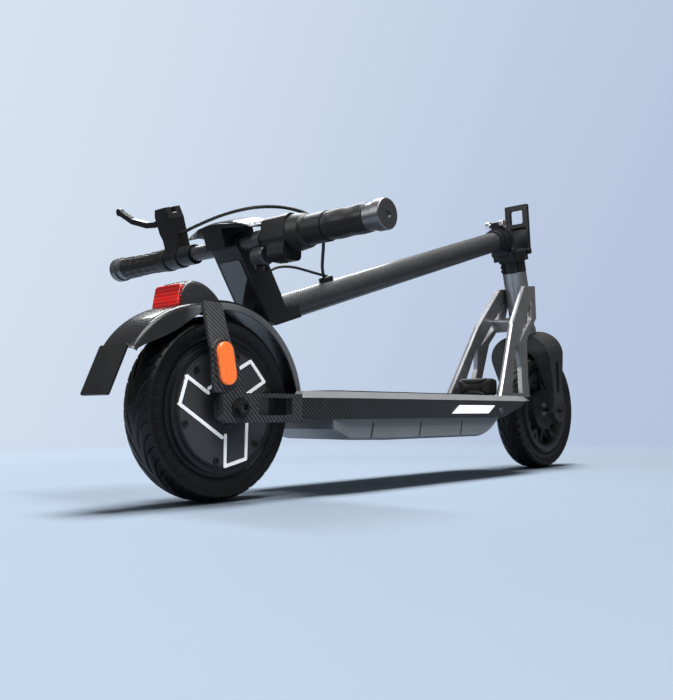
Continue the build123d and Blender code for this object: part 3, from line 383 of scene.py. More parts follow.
def tube_coordinates(sheet, place, origin, axis, up, radius):
    """Distance along a tube and distance round it, from its axis through origin."""
    away = sheet.vector("SUBTRACT", place, tuple(origin))
    along = sheet.vector("DOT_PRODUCT", away, tuple(axis))
    rise = sheet.vector("DOT_PRODUCT", away, tuple(up))
    beside = sheet.vector("DOT_PRODUCT", away, tuple(axis.cross(up)))
    angle = sheet.math("ARCTAN2", beside, rise)
    return along, sheet.times(angle, radius)


# ------------------------------------------------------------------ finishes
def settings():
    return bpy.context.scene.scooter_finish


def carbon_from(sheet, along, across, tow, dark, light, place):
    """Colour, roughness and height of clear-coated twill, with light painted into the colour:
    a lit grey on tows on top, a shaded grey beneath, painted shade across each tow's crown,
    and its own grey for each block of crossings.
    """
    weave = use_group(sheet, "carbon_twill", Along=along, Across=across, Tow=tow)
    dust = sheet.noise(place, 30.0, 3.0)
    # Painted light: a tow on top takes the whole lit share and a tow beneath 0.12 of it, times the painted
    # crown shade.
    lit = sheet.times(sheet.blend(weave["Warp"], 0.12, 1.0), weave["Shade"])
    lit = sheet.times(lit, sheet.blend(dust, 0.75, 1.15), clamp=True)
    return {
        "Base Color": sheet.mix(lit, dark, light),
        "Roughness": sheet.plus(sheet.blend(weave["Warp"], 0.42, 0.30), sheet.times(dust, 0.08)),
        "Height": weave["Height"],
    }


def woven(share=1.0, light=None, tube=None, turn=0.0):
    """Recipe for twill: round a tube, given as origin, axis, up and radius, or flat at a turn.

    share is the tow's width against the one in the settings, and light the painted lit grey of the tows on
    top.
    """
    def recipe(sheet, place, normal):
        look = settings()
        if tube:
            along, across = tube_coordinates(sheet, place, *tube)
        else:
            along, across = plane_coordinates(sheet, place, normal, turn)
        return carbon_from(sheet, along, across, look.tow * share, look.carbon_shaded_tow,
                           light or look.carbon_lit_tow, place)
    return recipe


def deck_finish(sheet, place, normal):
    """Twill film with painted lit and shaded tows on the upright sides, a satin grey band on the chamfer that
    is partly a painted highlight from above, black on top and below.
    """
    look = settings()
    along, across = plane_coordinates(sheet, place, normal)
    n = sheet.parts(normal)
    # Painted light: the side twill has a lit grey on tows on top and a shaded grey beneath.
    weave = carbon_from(
        sheet, along, across, look.tow * 0.95, (0.003, 0.003, 0.0035), (0.070, 0.070, 0.074), place)
    grain = grain_at(sheet, place)
    level = sheet.math("ABSOLUTE", n[2])
    # The chamfer band is grey satin. It is also lighter than the sides as a painted highlight on the faces
    # that look up.
    chamfer = sheet.times(sheet.step(n[2], 0.3, 0.4), sheet.rest(sheet.step(n[2], 0.9, 0.95)))
    flat = sheet.step(level, 0.9, 0.95)
    band = sheet.mix(grain["Blotch"], (0.16, 0.16, 0.165), (0.22, 0.22, 0.228))
    coloured = sheet.mix(chamfer, weave["Base Color"], band)
    coloured = sheet.mix(flat, coloured, (0.012, 0.012, 0.013))
    rough = sheet.blend(sheet.math("MAXIMUM", chamfer, flat), weave["Roughness"],
                        sheet.blend(grain["Blotch"], 0.32, 0.48))
    height = sheet.blend(sheet.math("MAXIMUM", chamfer, flat), weave["Height"],
                         sheet.times(grain["Height"], 0.15))
    return {"Base Color": coloured, "Roughness": rough, "Height": height}


def grained(low, high, rough_low, rough_high, size=1.0, metallic=None):
    """Recipe for a grained finish: two greys by slow blotches and a fine bump."""
    def recipe(sheet, place, normal):
        grain = grain_at(sheet, place, size)
        scratched = sheet.times(grain["Scratch"], 0.12)
        found = {
            "Base Color": sheet.mix(sheet.plus(grain["Blotch"], scratched, clamp=True), low, high),
            "Roughness": sheet.minus(sheet.blend(grain["Blotch"], rough_low, rough_high), scratched),
            "Height": grain["Height"],
        }
        if metallic is not None:
            found["Metallic"] = metallic
        return found
    return recipe


def pan_finish(sheet, place, normal):
    """Satin grey pan with three narrow slanted slits on each side, painted near black as the shade inside
    them.
    """
    found = grained(tuple(c * 0.85 for c in settings().pan_grey), tuple(settings().pan_grey), 0.34, 0.46)(
        sheet, place, normal)
    p = sheet.parts(place)
    upright = sheet.step(sheet.math("ABSOLUTE", sheet.parts(normal)[1]), 0.6, 0.8)
    slits = None
    for x in PAN_SLITS:
        lean = sheet.times(sheet.minus(p[2], 0.093), 0.25)
        away = sheet.math("ABSOLUTE", sheet.minus(sheet.minus(p[0], REAR_HUB.x + x), lean))
        cut = sheet.rest(sheet.step(away, 0.0013, 0.0019))
        slits = cut if slits is None else sheet.math("MAXIMUM", slits, cut)
    reach = sheet.times(sheet.step(p[2], 0.080, 0.0815), sheet.rest(sheet.step(p[2], 0.1045, 0.106)))
    slits = sheet.times(sheet.times(slits, reach), upright)
    # Painted shade: each slit is a near-black strip with a dent in the bump, standing in for the shade inside
    # a slot.
    found["Base Color"] = sheet.mix(slits, found["Base Color"], (0.004, 0.004, 0.004))
    found["Height"] = sheet.minus(sheet.times(found["Height"], 0.2), sheet.times(slits, 3.0))
    return found


def fender_finish(sheet, place, normal):
    """Black gloss skin, with a grey satin flange along both sides, fainter at the tail. The flange's grey is
    partly a painted reflection of the side walls catching light, with painted tow shade in its twill.
    """
    grain = grain_at(sheet, place)
    side = sheet.step(sheet.math("ABSOLUTE", sheet.parts(normal)[1]), 0.6, 0.8)
    outer = sheet.step(sheet.math("ABSOLUTE", sheet.parts(place)[1]), 0.0360, 0.0366)
    ahead = sheet.step(sheet.parts(place)[0], REAR_HUB.x - 0.075, REAR_HUB.x - 0.045)
    # The flange is grey satin carbon and partly a painted reflection. It is picked out by faces that look
    # sideways.
    flange = sheet.times(sheet.times(side, outer), sheet.blend(ahead, 0.12, 1.0))
    along, across = plane_coordinates(sheet, place, normal)
    weave = use_group(sheet, "carbon_twill", Along=along, Across=across, Tow=settings().tow)
    # Painted shade: the flange's grey follows the painted crown shade of its twill.
    grey = sheet.mix(sheet.times(weave["Shade"], 0.5), (0.12, 0.12, 0.122), (0.2, 0.2, 0.205))
    return {
        "Base Color": sheet.mix(flange, (0.010, 0.010, 0.011), grey),
        "Roughness": sheet.blend(flange, sheet.blend(grain["Blotch"], 0.20, 0.32), 0.38),
        "Height": sheet.times(grain["Height"], 0.3),
    }


def cover_finish(sheet, place, normal):
    """Grained grey hub cover, darker towards the centre, with painted shade in the ring groove near its rim.
    """
    grain = grain_at(sheet, place)
    radius = sheet.from_axle(place, REAR_HUB)
    # Painted shade: the ring groove near the rim is coloured near black.
    groove = sheet.rest(sheet.step(sheet.math("ABSOLUTE", sheet.minus(radius, COVER_GROOVE)), 0.0005, 0.0011))
    inner = sheet.rest(sheet.step(radius, 0.030, 0.046))
    shade = sheet.mix(grain["Blotch"], (0.040, 0.040, 0.043), (0.058, 0.058, 0.061))
    shade = sheet.mix(sheet.times(inner, 0.7), shade, (0.012, 0.012, 0.013))
    return {
        "Base Color": sheet.mix(groove, shade, (0.005, 0.005, 0.005)),
        "Roughness": sheet.blend(grain["Blotch"], 0.28, 0.40),
        "Height": sheet.minus(grain["Height"], sheet.times(groove, 4.0)),
    }


def tyre_rubber(sheet, place, normal):
    """Black rubber with fine mould grain, dusted in slow blotches."""
    grain = grain_at(sheet, place, 0.8)
    dusty = sheet.times(sheet.step(grain["Blotch"], 0.45, 0.75), 0.35)
    return {
        "Base Color": sheet.mix(dusty, (0.006, 0.006, 0.0065), (0.016, 0.016, 0.0165)),
        "Roughness": sheet.blend(grain["Blotch"], 0.33, 0.46),
        "Height": grain["Height"],
    }


def lens_cells(lit_facet, shaded_facet, cell, glow=0.0):
    """Recipe for a moulded reflector: a lattice of small pyramids behind clear plastic, its facets painted
    lit and shaded, glowing when glow is set.
    """
    def recipe(sheet, place, normal):
        p = sheet.parts(place)
        waves = []
        for axis in (p[0], p[1], p[2]):
            folded = sheet.math("PINGPONG", axis, cell)
            waves.append(sheet.math("DIVIDE", folded, cell))
        lattice = sheet.times(sheet.plus(sheet.plus(waves[0], waves[1]), waves[2]), 0.333)
        # Painted light: the lattice colours each facet as lit or shaded.
        colour = sheet.mix(sheet.step(lattice, 0.25, 0.75), shaded_facet, lit_facet)
        found = {"Base Color": colour, "Roughness": sheet.blend(lattice, 0.10, 0.22), "Height": lattice}
        if glow:
            found["Emission Color"] = colour
        return found
    return recipe


def mat_rubber(sheet, place, normal):
    """Rubber of the deck mat, with long narrow ribs."""
    grain = grain_at(sheet, place, 0.6)
    p = sheet.parts(place)
    rib = sheet.math("PINGPONG", p[1], 0.003)
    ridge = sheet.step(rib, 0.0007, 0.0013)
    return {
        "Base Color": sheet.mix(
            sheet.times(grain["Blotch"], ridge), (0.008, 0.008, 0.008), (0.030, 0.030, 0.031)),
        "Roughness": sheet.blend(grain["Blotch"], 0.6, 0.8),
        "Height": sheet.plus(sheet.times(grain["Height"], 0.2), ridge),
    }


def head_paint(sheet, place, normal):
    """Metallic paint: fine flake, slow clouding and light scratches."""
    grain = grain_at(sheet, place, 1.4)
    tone = tuple(settings().gunmetal)
    return {
        "Base Color": sheet.mix(grain["Blotch"], tuple(c * 0.8 for c in tone), tuple(c * 1.25 for c in tone)),
        "Roughness": sheet.minus(
            sheet.blend(grain["Blotch"], 0.26, 0.36), sheet.times(grain["Scratch"], 0.08)),
        "Height": grain["Height"],
    }


def turned_metal(centre, low, high):
    """Recipe for a lathe-turned end cap: rings round the bar's line."""
    def recipe(sheet, place, normal):
        radius = sheet.from_axle(place, centre)
        rings = sheet.add("ShaderNodeTexNoise", noise_dimensions="1D")
        sheet.feed(rings.inputs["W"], sheet.times(radius, 4000.0))
        return {
            "Base Color": sheet.mix(rings.outputs["Fac"], low, high),
            "Roughness": sheet.blend(rings.outputs["Fac"], 0.22, 0.40),
            "Height": rings.outputs["Fac"],
        }
    return recipe


PAD_RUBBER = grained((0.006, 0.006, 0.0065), (0.014, 0.014, 0.0145), 0.36, 0.5, 0.7)
CLEAR_COAT = {"Coat_Weight": 0.35, "Coat_Roughness": 0.12}
GRAPHITE = grained((0.014, 0.014, 0.015), (0.030, 0.030, 0.032), 0.24, 0.36)


def dress(names, title, recipe, bump, **plain):
    """Gives one finish to the CAD nodes named in a string."""
    material = finish(title, recipe, bump, **plain)
    for name in names.split():
        NODES[name].data.materials.clear()
        NODES[name].data.materials.append(material)


def paint_nodes():
    """Gives every CAD node its own finish."""
    look = settings()
    # The carbon finishes paint light into their twill: a lit grey on tows on top and a shaded grey beneath.
    dress("stem_tube", "stem_carbon", woven(0.75, tube=(STEM_LINE, STEM_A, STEM_B, STEM_RADIUS)), 0.00022,
          **CLEAR_COAT)
    dress("handlebar", "bar_carbon", woven(tube=(BAR, LEFT, STEM_B, BAR_RADIUS)), 0.00018, **CLEAR_COAT)
    dress("dropouts fender_straps", "plate_carbon", woven(1.1, (0.13, 0.13, 0.135)), 0.00020, **CLEAR_COAT)
    dress("fork", "fork_carbon", woven(light=(0.055, 0.055, 0.058), turn=RAKE), 0.00015, **CLEAR_COAT)
    dress("deck_body", "deck_film", deck_finish, 0.00015)
    dress("head_tube front_struts", "gunmetal", head_paint, 0.00002, Metallic=0.85, Coat_Weight=0.25)
    dress("battery_cover", "pan_satin", pan_finish, 0.0001, Metallic=0.35)
    dress("wheel_covers", "cover_grain", cover_finish, 0.00010)
    dress("rear_rim front_rim brake_plate", "wheel_paint",
          grained((0.014, 0.014, 0.015), (0.030, 0.030, 0.032), 0.26, 0.4), 0.00005, Metallic=0.3)
    # Painted light: the silver trims glow, to look brighter, though they are no lamps.
    dress("cover_trims", "trim_silver", grained((0.90, 0.90, 0.91), (0.97, 0.97, 0.98), 0.22, 0.32),
          0.00003, Emission_Color=(0.9, 0.9, 0.92, 1), Emission_Strength=0.22)
    dress("rear_fender", "fender_skin", fender_finish, 0.00006, Coat_Weight=0.3)
    dress("tail_light_housing throttle_housing plate_holder headlamp_shell horn_button bell_striker",
          "moulded_black", grained((0.006, 0.006, 0.0065), (0.014, 0.014, 0.015), 0.26, 0.40), 0.00006)
    dress("neck", "neck_paint", grained((0.010, 0.010, 0.011), (0.018, 0.018, 0.020), 0.36, 0.48), 0.00004)
    dress("stem_flange hinge_base latch_lever brake_perch brake_lever kickstand kickstand_bracket",
          "graphite_paint", GRAPHITE, 0.00004, Metallic=0.4)
    dress("bell", "bell_grey", grained((0.05, 0.05, 0.052), (0.09, 0.09, 0.092), 0.26, 0.4), 0.00004,
          Metallic=0.5)
    dress("front_pad throttle_sleeve cable_grommet left_grip right_grip", "pad_rubber", PAD_RUBBER, 0.00008)
    dress("grip_mat", "mat_rubber", mat_rubber, 0.0006)
    dress("striker", "polished_steel", grained((0.72, 0.72, 0.73), (0.85, 0.85, 0.86), 0.10, 0.22),
          0.00002, Metallic=1.0)
    dress("rear_axle rear_bearings front_bearings headset_bearings", "plain_steel",
          grained((0.32, 0.32, 0.33), (0.45, 0.45, 0.46), 0.26, 0.4), 0.00003, Metallic=1.0)
    dress("front_axle rear_axle_nuts cover_screws hinge_bolts brake_arm", "black_oxide",
          grained((0.016, 0.016, 0.017), (0.045, 0.045, 0.047), 0.28, 0.45), 0.00004, Metallic=0.6)
    dress("tail_light_lens", "red_lens", lens_cells(tuple(look.tail_red), (0.20, 0.003, 0.003), 0.0026, 1),
          0.0006, Emission_Strength=0.14, Coat_Weight=1.0, Coat_Roughness=0.04)
    # Painted light: the amber reflectors glow, though they are no lamps.
    dress("amber_reflectors", "amber_lens_painted_glow", lens_cells(tuple(look.amber), (0.80, 0.12, 0.02), 0.0014, 1),
          0.0003, Emission_Strength=0.45, Coat_Weight=1.0, Coat_Roughness=0.05)
    # Painted light: the white reflectors glow, though they are no lamps.
    dress("side_reflectors", "white_reflector",
          lens_cells((0.95, 0.96, 0.98), (0.80, 0.82, 0.85), 0.0012, 1), 0.0002,
          Emission_Strength=0.9, Coat_Weight=0.5)
    dress("front_light headlamp_lens", "lamp_lens",
          lens_cells((0.34, 0.35, 0.37), (0.10, 0.10, 0.11), 0.0016), 0.0003,
          Coat_Weight=1.0, Coat_Roughness=0.05)
    dress("display_glass", "display_dark", grained((0.006, 0.007, 0.009), (0.014, 0.015, 0.018), 0.08, 0.16),
          0.00001, Coat_Weight=1.0, Coat_Roughness=0.03)
    dress("battery_pack motor_controller", "cell_sleeve",
          grained((0.02, 0.10, 0.22), (0.03, 0.14, 0.30), 0.3, 0.4), 0.00003)
    dress("bar_end_caps", "turned_alloy", turned_metal(BAR, (0.10, 0.10, 0.105), (0.22, 0.22, 0.23)),
          0.00003, Metallic=0.8)
    dress("charge_port", "port_grey", grained((0.05, 0.05, 0.05), (0.10, 0.10, 0.10), 0.3, 0.4), 0.00003)
    dress("rear_tyre front_tyre brake_cable display_lead", "tyre_rubber", tyre_rubber, 0.00012)


# ------------------------------------------------------------------ surfaces
def grid_faces(rows, columns, wrap_rows=False, wrap_columns=False):
    """Quads of a grid of vertices, row by row, closed round either way if asked."""
    i = np.arange(rows if wrap_rows else rows - 1)
    j = np.arange(columns if wrap_columns else columns - 1)
    a, b = np.meshgrid(i, j, indexing="ij")
    up, over = (a + 1) % rows, (b + 1) % columns
    corners = [a * columns + b, a * columns + over, up * columns + over, up * columns + b]
    return np.stack(corners, -1).reshape(-1, 4)


def make_piece(name, points, faces, body, material, stands_for=()):
    """Mesh object from whole arrays, set on its body with its finish."""
    mesh = bpy.data.meshes.new(name)
    mesh.vertices.add(len(points))
    mesh.vertices.foreach_set("co", np.asarray(points, np.float32).ravel())
    counts = np.full(len(faces), faces.shape[1], np.int32)
    mesh.loops.add(int(counts.sum()))
    mesh.loops.foreach_set("vertex_index", faces.astype(np.int32).ravel())
    mesh.polygons.add(len(faces))
    mesh.polygons.foreach_set("loop_start", np.concatenate([[0], np.cumsum(counts)[:-1]]).astype(np.int32))
    mesh.polygons.foreach_set("loop_total", counts)
    mesh.polygons.foreach_set("use_smooth", np.full(len(faces), True))
    mesh.update(calc_edges=True)
    mesh.validate()
    mesh.materials.append(material)
    piece = bpy.data.objects.new(name, mesh)
    bpy.context.scene.collection.objects.link(piece)
    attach(piece, body)
    if stands_for:
        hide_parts(*stands_for)
    return piece


def smooth_step(x):
    x = np.clip(x, 0, 1)
    return x * x * (3 - 2 * x)


def ring_of_profile(profile, columns, hub, dent):
    """Closed profile (width, radius) carried round a wheel's axle, less dent(angle, width, radius)."""
    angle = np.linspace(0, 2 * np.pi, columns, endpoint=False)
    width, radius = profile[:, 0][None, :], profile[:, 1][None, :]
    turn = angle[:, None]
    radius = radius - dent(turn, width, radius)
    x = hub.x + radius * np.cos(turn)
    z = hub.z + radius * np.sin(turn)
    y = hub.y + width + 0 * turn
    return np.stack([x, y, z], -1).reshape(-1, 3), grid_faces(columns, profile.shape[0], True, True)


def tyre_profile(steps):
    """Outer line of a tyre, from bead to bead over the crown, then back along the inside.

    The crown is a wide flat arch; each wall is a superellipse from the crown's edge to the bead.
    """
    t = np.linspace(-1, 1, steps)
    lift = (1 - np.abs(t) ** 2.6) ** (1 / 2.1)
    width = TYRE_HALF * np.sign(t) * (1 - (1 - np.abs(t)) ** 1.5) ** 0.9
    pinch = smooth_step((np.abs(t) - 0.72) / 0.28)
    width = width - np.sign(t) * pinch * (TYRE_HALF - BEAD_HALF)
    radius = BEAD_RADIUS + (TYRE_RADIUS - 0.0001 - BEAD_RADIUS) * lift
    inner_width = np.linspace(BEAD_HALF, -BEAD_HALF, 9)[1:-1]
    inner_radius = BEAD_RADIUS - 0.001 * np.ones(7)
    return np.stack([np.concatenate([width, inner_width]), np.concatenate([radius, inner_radius])], -1)


def tread(count, depth, sweep):
    """Dent of the tread: two rings of curved grooves that run from the crown to the shoulder.

    A groove's centre line leaves the crown almost along the tyre and turns towards the shoulder,
    as angle = sweep * (1 - reach) squared. Its depth falls off over a smooth step at each wall
    and fades at both ends. Shorter grooves on each shoulder and two thin rings on each wall are cut as well.
    """
    def dent(turn, width, radius):
        reach = np.clip((np.abs(width) - GROOVE_START) / GROOVE_SPAN, 0, 1)
        line = sweep * (1 - reach) ** 2
        spacing = 2 * np.pi / count
        offset = np.where(width > 0, 0.5 * spacing, 0.0)
        phase = np.mod(turn - line + offset, spacing)
        gap = np.minimum(phase, spacing - phase) * radius
        slope = np.sqrt(1 + (2 * sweep * (1 - reach) * radius / GROOVE_SPAN) ** 2)
        gap = gap / slope
        groove = 1 - smooth_step((gap - 0.0009) / 0.0009)
        ends = smooth_step(reach / 0.06) * (1 - smooth_step((reach - 0.90) / 0.10))
        outside = radius > TYRE_RADIUS - 0.026
        second = np.mod(turn - line * 0.55 + offset + spacing * 0.5, spacing)
        side_slope = np.sqrt(1 + (1.1 * sweep * (1 - reach) * radius / GROOVE_SPAN) ** 2)
        side_gap = np.minimum(second, spacing - second) * radius / side_slope
        shoulder = (1 - smooth_step((side_gap - 0.0006) / 0.0008)) * smooth_step((reach - 0.42) / 0.08) * (
            1 - smooth_step((reach - 0.90) / 0.10))
        rings = 0
        for ring in SIDEWALL_RINGS:
            rings = rings + 0.0006 * (1 - smooth_step((np.abs(radius - ring) - 0.0004) / 0.0005))
        return outside * depth * np.maximum(groove * ends, shoulder) + rings * (np.abs(width) > 0.02)
    return dent


def rounded_block(centre, half, power, rows, columns):
    """Block with soft edges: sines and cosines of latitude and turn, each raised to a small power."""
    lat = np.linspace(-np.pi / 2, np.pi / 2, rows)[1:-1][:, None]
    turn = np.linspace(0, 2 * np.pi, columns, endpoint=False)[None, :]

    def soft(value):
        return np.sign(value) * np.abs(value) ** power

    ring = soft(np.cos(lat))
    x = ring * soft(np.cos(turn))
    y = ring * soft(np.sin(turn))
    z = soft(np.sin(lat)) + 0 * turn
    body = np.stack([x, y, z], -1).reshape(-1, 3) * half + centre
    poles = np.array([[0, 0, -1.0], [0, 0, 1.0]]) * half + centre
    last = (rows - 3) * columns
    k = np.arange(0, columns, 2)
    after = (k + 2) % columns
    foot = np.stack([after, k + 1, k, 0 * k + len(body)], -1)
    head = np.stack([last + k, last + k + 1, last + after, 0 * k + len(body) + 1], -1)
    faces = np.concatenate([grid_faces(rows - 2, columns, False, True), foot, head])
    return np.concatenate([body, poles]), faces


def grip_sleeve(name, line, radius_of, material, node, columns=160):
    """Sleeve along the bar: radius_of(angle, distance) gives the outer radius, closed on the bar.

    line is an array of distances along +Y. The inner wall is the bar's radius, so the sleeve is a
    closed ring of material.
    """
    angle = np.linspace(0, 2 * np.pi, columns, endpoint=False)[:, None]
    along = line[None, :]
    radius = radius_of(angle, along)
    inner = np.full(radius.shape, BAR_RADIUS)
    outer_x, outer_z = BAR.x + radius * np.cos(angle), BAR.z + radius * np.sin(angle)
    inner_x, inner_z = BAR.x + inner * np.cos(angle), BAR.z + inner * np.sin(angle)
    x = np.concatenate([outer_x, inner_x[:, ::-1]], 1)
    z = np.concatenate([outer_z, inner_z[:, ::-1]], 1)
    y = np.concatenate([along + 0 * angle, along[:, ::-1] + 0 * angle], 1)
    points = np.stack([x, y, z], -1).reshape(-1, 3)
    faces = grid_faces(columns, x.shape[1], True, True)
    return make_piece(name, points, faces, "stem", material, (node,))


def bezier(corners, steps):
    """Points of a cubic Bezier curve: the four corners weighed by (1 - t) and t to the third power."""
    t = np.linspace(0, 1, steps)[:, None]
    a, b, c, d = (np.array(corner, float)[None, :] for corner in corners)
    return (1 - t) ** 3 * a + 3 * t * (1 - t) ** 2 * b + 3 * t ** 2 * (1 - t) * c + t ** 3 * d


def moulded_shell(name, line, inward, half, corner, depth, crown, wall, material, node):
    """Thin moulding over a wheel: a U-shaped section carried along a line in the side view.

    Across the section, width and depth follow a flat crowned top, a quarter ellipse at each
    corner and a straight side down to depth(row). The inside is the same section drawn in by
    the wall, joined to the outside along both lower edges and at both ends.
    """
    turn = np.linspace(0, np.pi / 2, 10)
    side = np.linspace(1, 0, 8)
    top = np.linspace(-1, 1, 25)[1:-1] * (half - corner)
    edge = half - corner + corner * np.sin(turn)
    drop = corner * (1 - np.cos(turn))
    width = np.concatenate([-half + 0 * side, -edge[::-1][1:], top, edge[:-1], half + 0 * side])
    sunk = np.concatenate([0 * side, drop[::-1][1:], 0 * top, drop[:-1], 0 * side])
    reach = np.concatenate([side, np.zeros(len(edge) * 2 - 2 + len(top)), side[::-1]])
    on_side = np.abs(width) > half - 1e-9
    sunk = np.where(on_side, corner, sunk) + crown * (width / half) ** 2
    outer = sunk[None, :] + reach[None, :] * np.maximum(depth - corner - crown, 0)[:, None]
    inner = outer + wall * (1 - reach)[None, :]
    inner_width = width * (half - wall) / half
    down = np.concatenate([outer, inner[:, ::-1]], 1)
    across = np.concatenate([width, inner_width[::-1]])
    x = line[:, 0:1] + inward[:, 0:1] * down
    z = line[:, 1:2] + inward[:, 1:2] * down
    points = np.stack([x, across[None, :] + 0 * x, z], -1)
    rows, columns = x.shape
    faces = grid_faces(rows, columns, False, True)
    k = np.arange(len(width) - 1)
    first = np.stack([k, k + 1, columns - 2 - k, columns - 1 - k], -1)
    last = first[:, ::-1] + (rows - 1) * columns
    faces = np.concatenate([faces, first, last])
    return make_piece(name, points.reshape(-1, 3), faces, "frame", material, (node,))


def inward_of(line):
    """Unit vectors square to a line that runs anticlockwise over a wheel, pointing to its hub."""
    along = np.gradient(line, axis=0)
    along = along / np.linalg.norm(along, axis=1, keepdims=True)
    return np.stack([-along[:, 1], along[:, 0]], -1)


# ------------------------------------------------------------------ operators
class ScooterPaint(bpy.types.Operator):
    """Give each carried-over part its carbon, paint, rubber or lens finish"""

    bl_idname = "scooter.paint"
    bl_label = "Paint parts"

    def execute(self, context):
        paint_nodes()
        return {"FINISHED"}


class ScooterTyres(bpy.types.Operator):
    """Make both tyres with their swept tread grooves"""

    bl_idname = "scooter.tyres"
    bl_label = "Make tyres"

    def execute(self, context):
        look = context.scene.scooter_tyres
        rubber = finish("tyre_rubber", tyre_rubber, 0.00012)
        for name, hub, body, node, count in (
                ("rear_tyre_tread", REAR_HUB, "rear_wheel", "rear_tyre", look.rear_grooves),
                ("front_tyre_tread", FRONT_HUB, "front_wheel", "front_tyre", look.front_grooves)):
            dent = tread(count, look.groove_depth, GROOVE_WRAP)
            points, faces = ring_of_profile(tyre_profile(104), 840, hub, dent)
            make_piece(name, points, faces, body, rubber, (node,))
        return {"FINISHED"}


class ScooterGrips(bpy.types.Operator):
    """Make the two rubber grips with their moulded pattern"""

    bl_idname = "scooter.grips"
    bl_label = "Make grips"

    def execute(self, context):
        rubber = finish("pad_rubber", PAD_RUBBER, 0.00008)

        def left(angle, along):
            """Soft waist between two collars, with a lattice of raised lozenges."""
            t = (along - 0.142) / 0.116
            body = 0.0170 + 0.0016 * np.exp(-((t - 0.02) / 0.07) ** 2) + 0.0008 * np.cos(2 * np.pi * t)
            lattice = np.cos(6 * angle + 160 * along) * np.cos(6 * angle - 160 * along)
            inside = smooth_step((t - 0.14) / 0.05) * (1 - smooth_step((t - 0.92) / 0.04))
            return np.minimum(body + 0.0007 * lattice * inside, 0.0184)

        def right(angle, along):
            """Straight grip with long shallow waves that meet in lozenges."""
            t = (-0.1902 - along) / 0.0678
            body = 0.0188 - 0.0006 * t
            wave = np.cos(3 * angle + 90 * along) * np.cos(3 * angle - 90 * along)
            inside = smooth_step((t - 0.05) / 0.05) * (1 - smooth_step((t - 0.93) / 0.05))
            return np.minimum(body + 0.0008 * wave * inside, 0.0194)

        grip_sleeve("left_grip_moulded", np.linspace(*LEFT_GRIP, 160), left, rubber, "left_grip")
        grip_sleeve("right_grip_moulded", np.linspace(*RIGHT_GRIP, 110), right, rubber, "right_grip")
        return {"FINISHED"}


class ScooterFender(bpy.types.Operator):
    """Make the crowned rear fender and the cowl that carries the tail light"""

    bl_idname = "scooter.fender"
    bl_label = "Make fender"

    def execute(self, context):
        hub = np.array([REAR_HUB.x, REAR_HUB.z])
        skin = finish("fender_skin", fender_finish, 0.00006, Coat_Weight=0.3)
        turn = np.radians(np.linspace(8.5, 108, 110))
        arch = FENDER_RADIUS * np.stack([np.cos(turn), np.sin(turn)], -1)
        tail = bezier((arch[-1], (-0.090, 0.136), (-0.131, 0.113), (-0.153, 0.075)), 60)
        line = np.concatenate([arch, tail[1:]])
        share = np.concatenate([0 * turn, np.linspace(0, 1, 60)[1:]])
        depth = 0.014 - 0.006 * share + 0.018 * np.sin(np.pi * share)
        moulded_shell("rear_fender_skin", line + hub, inward_of(line), 0.037, 0.007, depth, 0.0012, 0.0026,
                      skin, "rear_fender")
        # The cowl's twill has painted lit and shaded tows.
        carbon = finish("cowl_carbon", woven(0.7), 0.00012, Coat_Weight=0.5, Coat_Roughness=0.1)
        ridge = bezier(((-0.0745, 0.150), (-0.067, 0.182), (-0.022, 0.172), (-0.003, 0.140)), 60)
        seat = np.sqrt(FENDER_RADIUS ** 2 - ridge[:, 0] ** 2)
        drop = ridge[:, 1] - seat + 0.005
        downward = np.stack([0 * seat, 0 * seat - 1], -1)
        moulded_shell("tail_light_cowl", ridge + hub, downward, 0.030, 0.006, np.maximum(drop, 0.009),
                      0.001, 0.003, carbon, "tail_light_housing")
        return {"FINISHED"}


class ScooterFoldParts(bpy.types.Operator):
    """Make the faceted deck stop and the shield on the latch lever"""

    bl_idname = "scooter.fold_parts"
    bl_label = "Make stop and latch shield"

    def execute(self, context):
        rubber = finish("pad_rubber", PAD_RUBBER, 0.00008)
        low, high = (np.array(corner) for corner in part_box("front_pad"))
        centre, half = (low + high) / 2, (high - low) / 2
        points, faces = rounded_block(centre, half, 0.32, 64, 120)
        y, z = points[:, 1] - centre[1], points[:, 2] - centre[2]
        away = np.abs(0.48 * np.abs(y) - np.abs(z)) * 0.9
        groove = 1 - smooth_step((away - 0.0005) / 0.0016)
        pull = 0.0026 * groove * (np.abs(y) < half[1] * 0.93)
        ahead = points[:, 0] - centre[0]
        points[:, 0] += pull * np.where(ahead < 0, 1, -1) * (np.abs(ahead) > 0.4 * half[0])
        make_piece("deck_stop", points, faces, "frame", rubber, ("front_pad",))
        shell = finish("graphite_paint", GRAPHITE, 0.00004, Metallic=0.4)
        up = math.radians(RAKE_DEGREES + 90 - 10.5)
        rise = np.array([math.cos(up), 0, math.sin(up)])
        out = np.array([math.sin(up), 0, -math.cos(up)])
        root = np.array(FRONT_HUB + STEER_U * 0.034 + STEER_W * 0.346)
        block, faces = rounded_block(np.zeros(3), np.array([0.0018, 0.0222, 0.0246]), 0.12, 48, 96)
        ribs = 0.0012 * (np.cos(block[:, 1] * 2 * np.pi / 0.0111) > 0.2) * (np.abs(block[:, 2]) < 0.018)
        block[:, 0] += ribs * (block[:, 0] < 0) * -1
        placed = root + rise * (0.0292 + block[:, 2:3]) + out * (0.0062 + block[:, 0:1])
        placed = placed + np.array([0, 1, 0]) * block[:, 1:2]
        make_piece("latch_shield", placed, faces, "latch", shell)
        return {"FINISHED"}


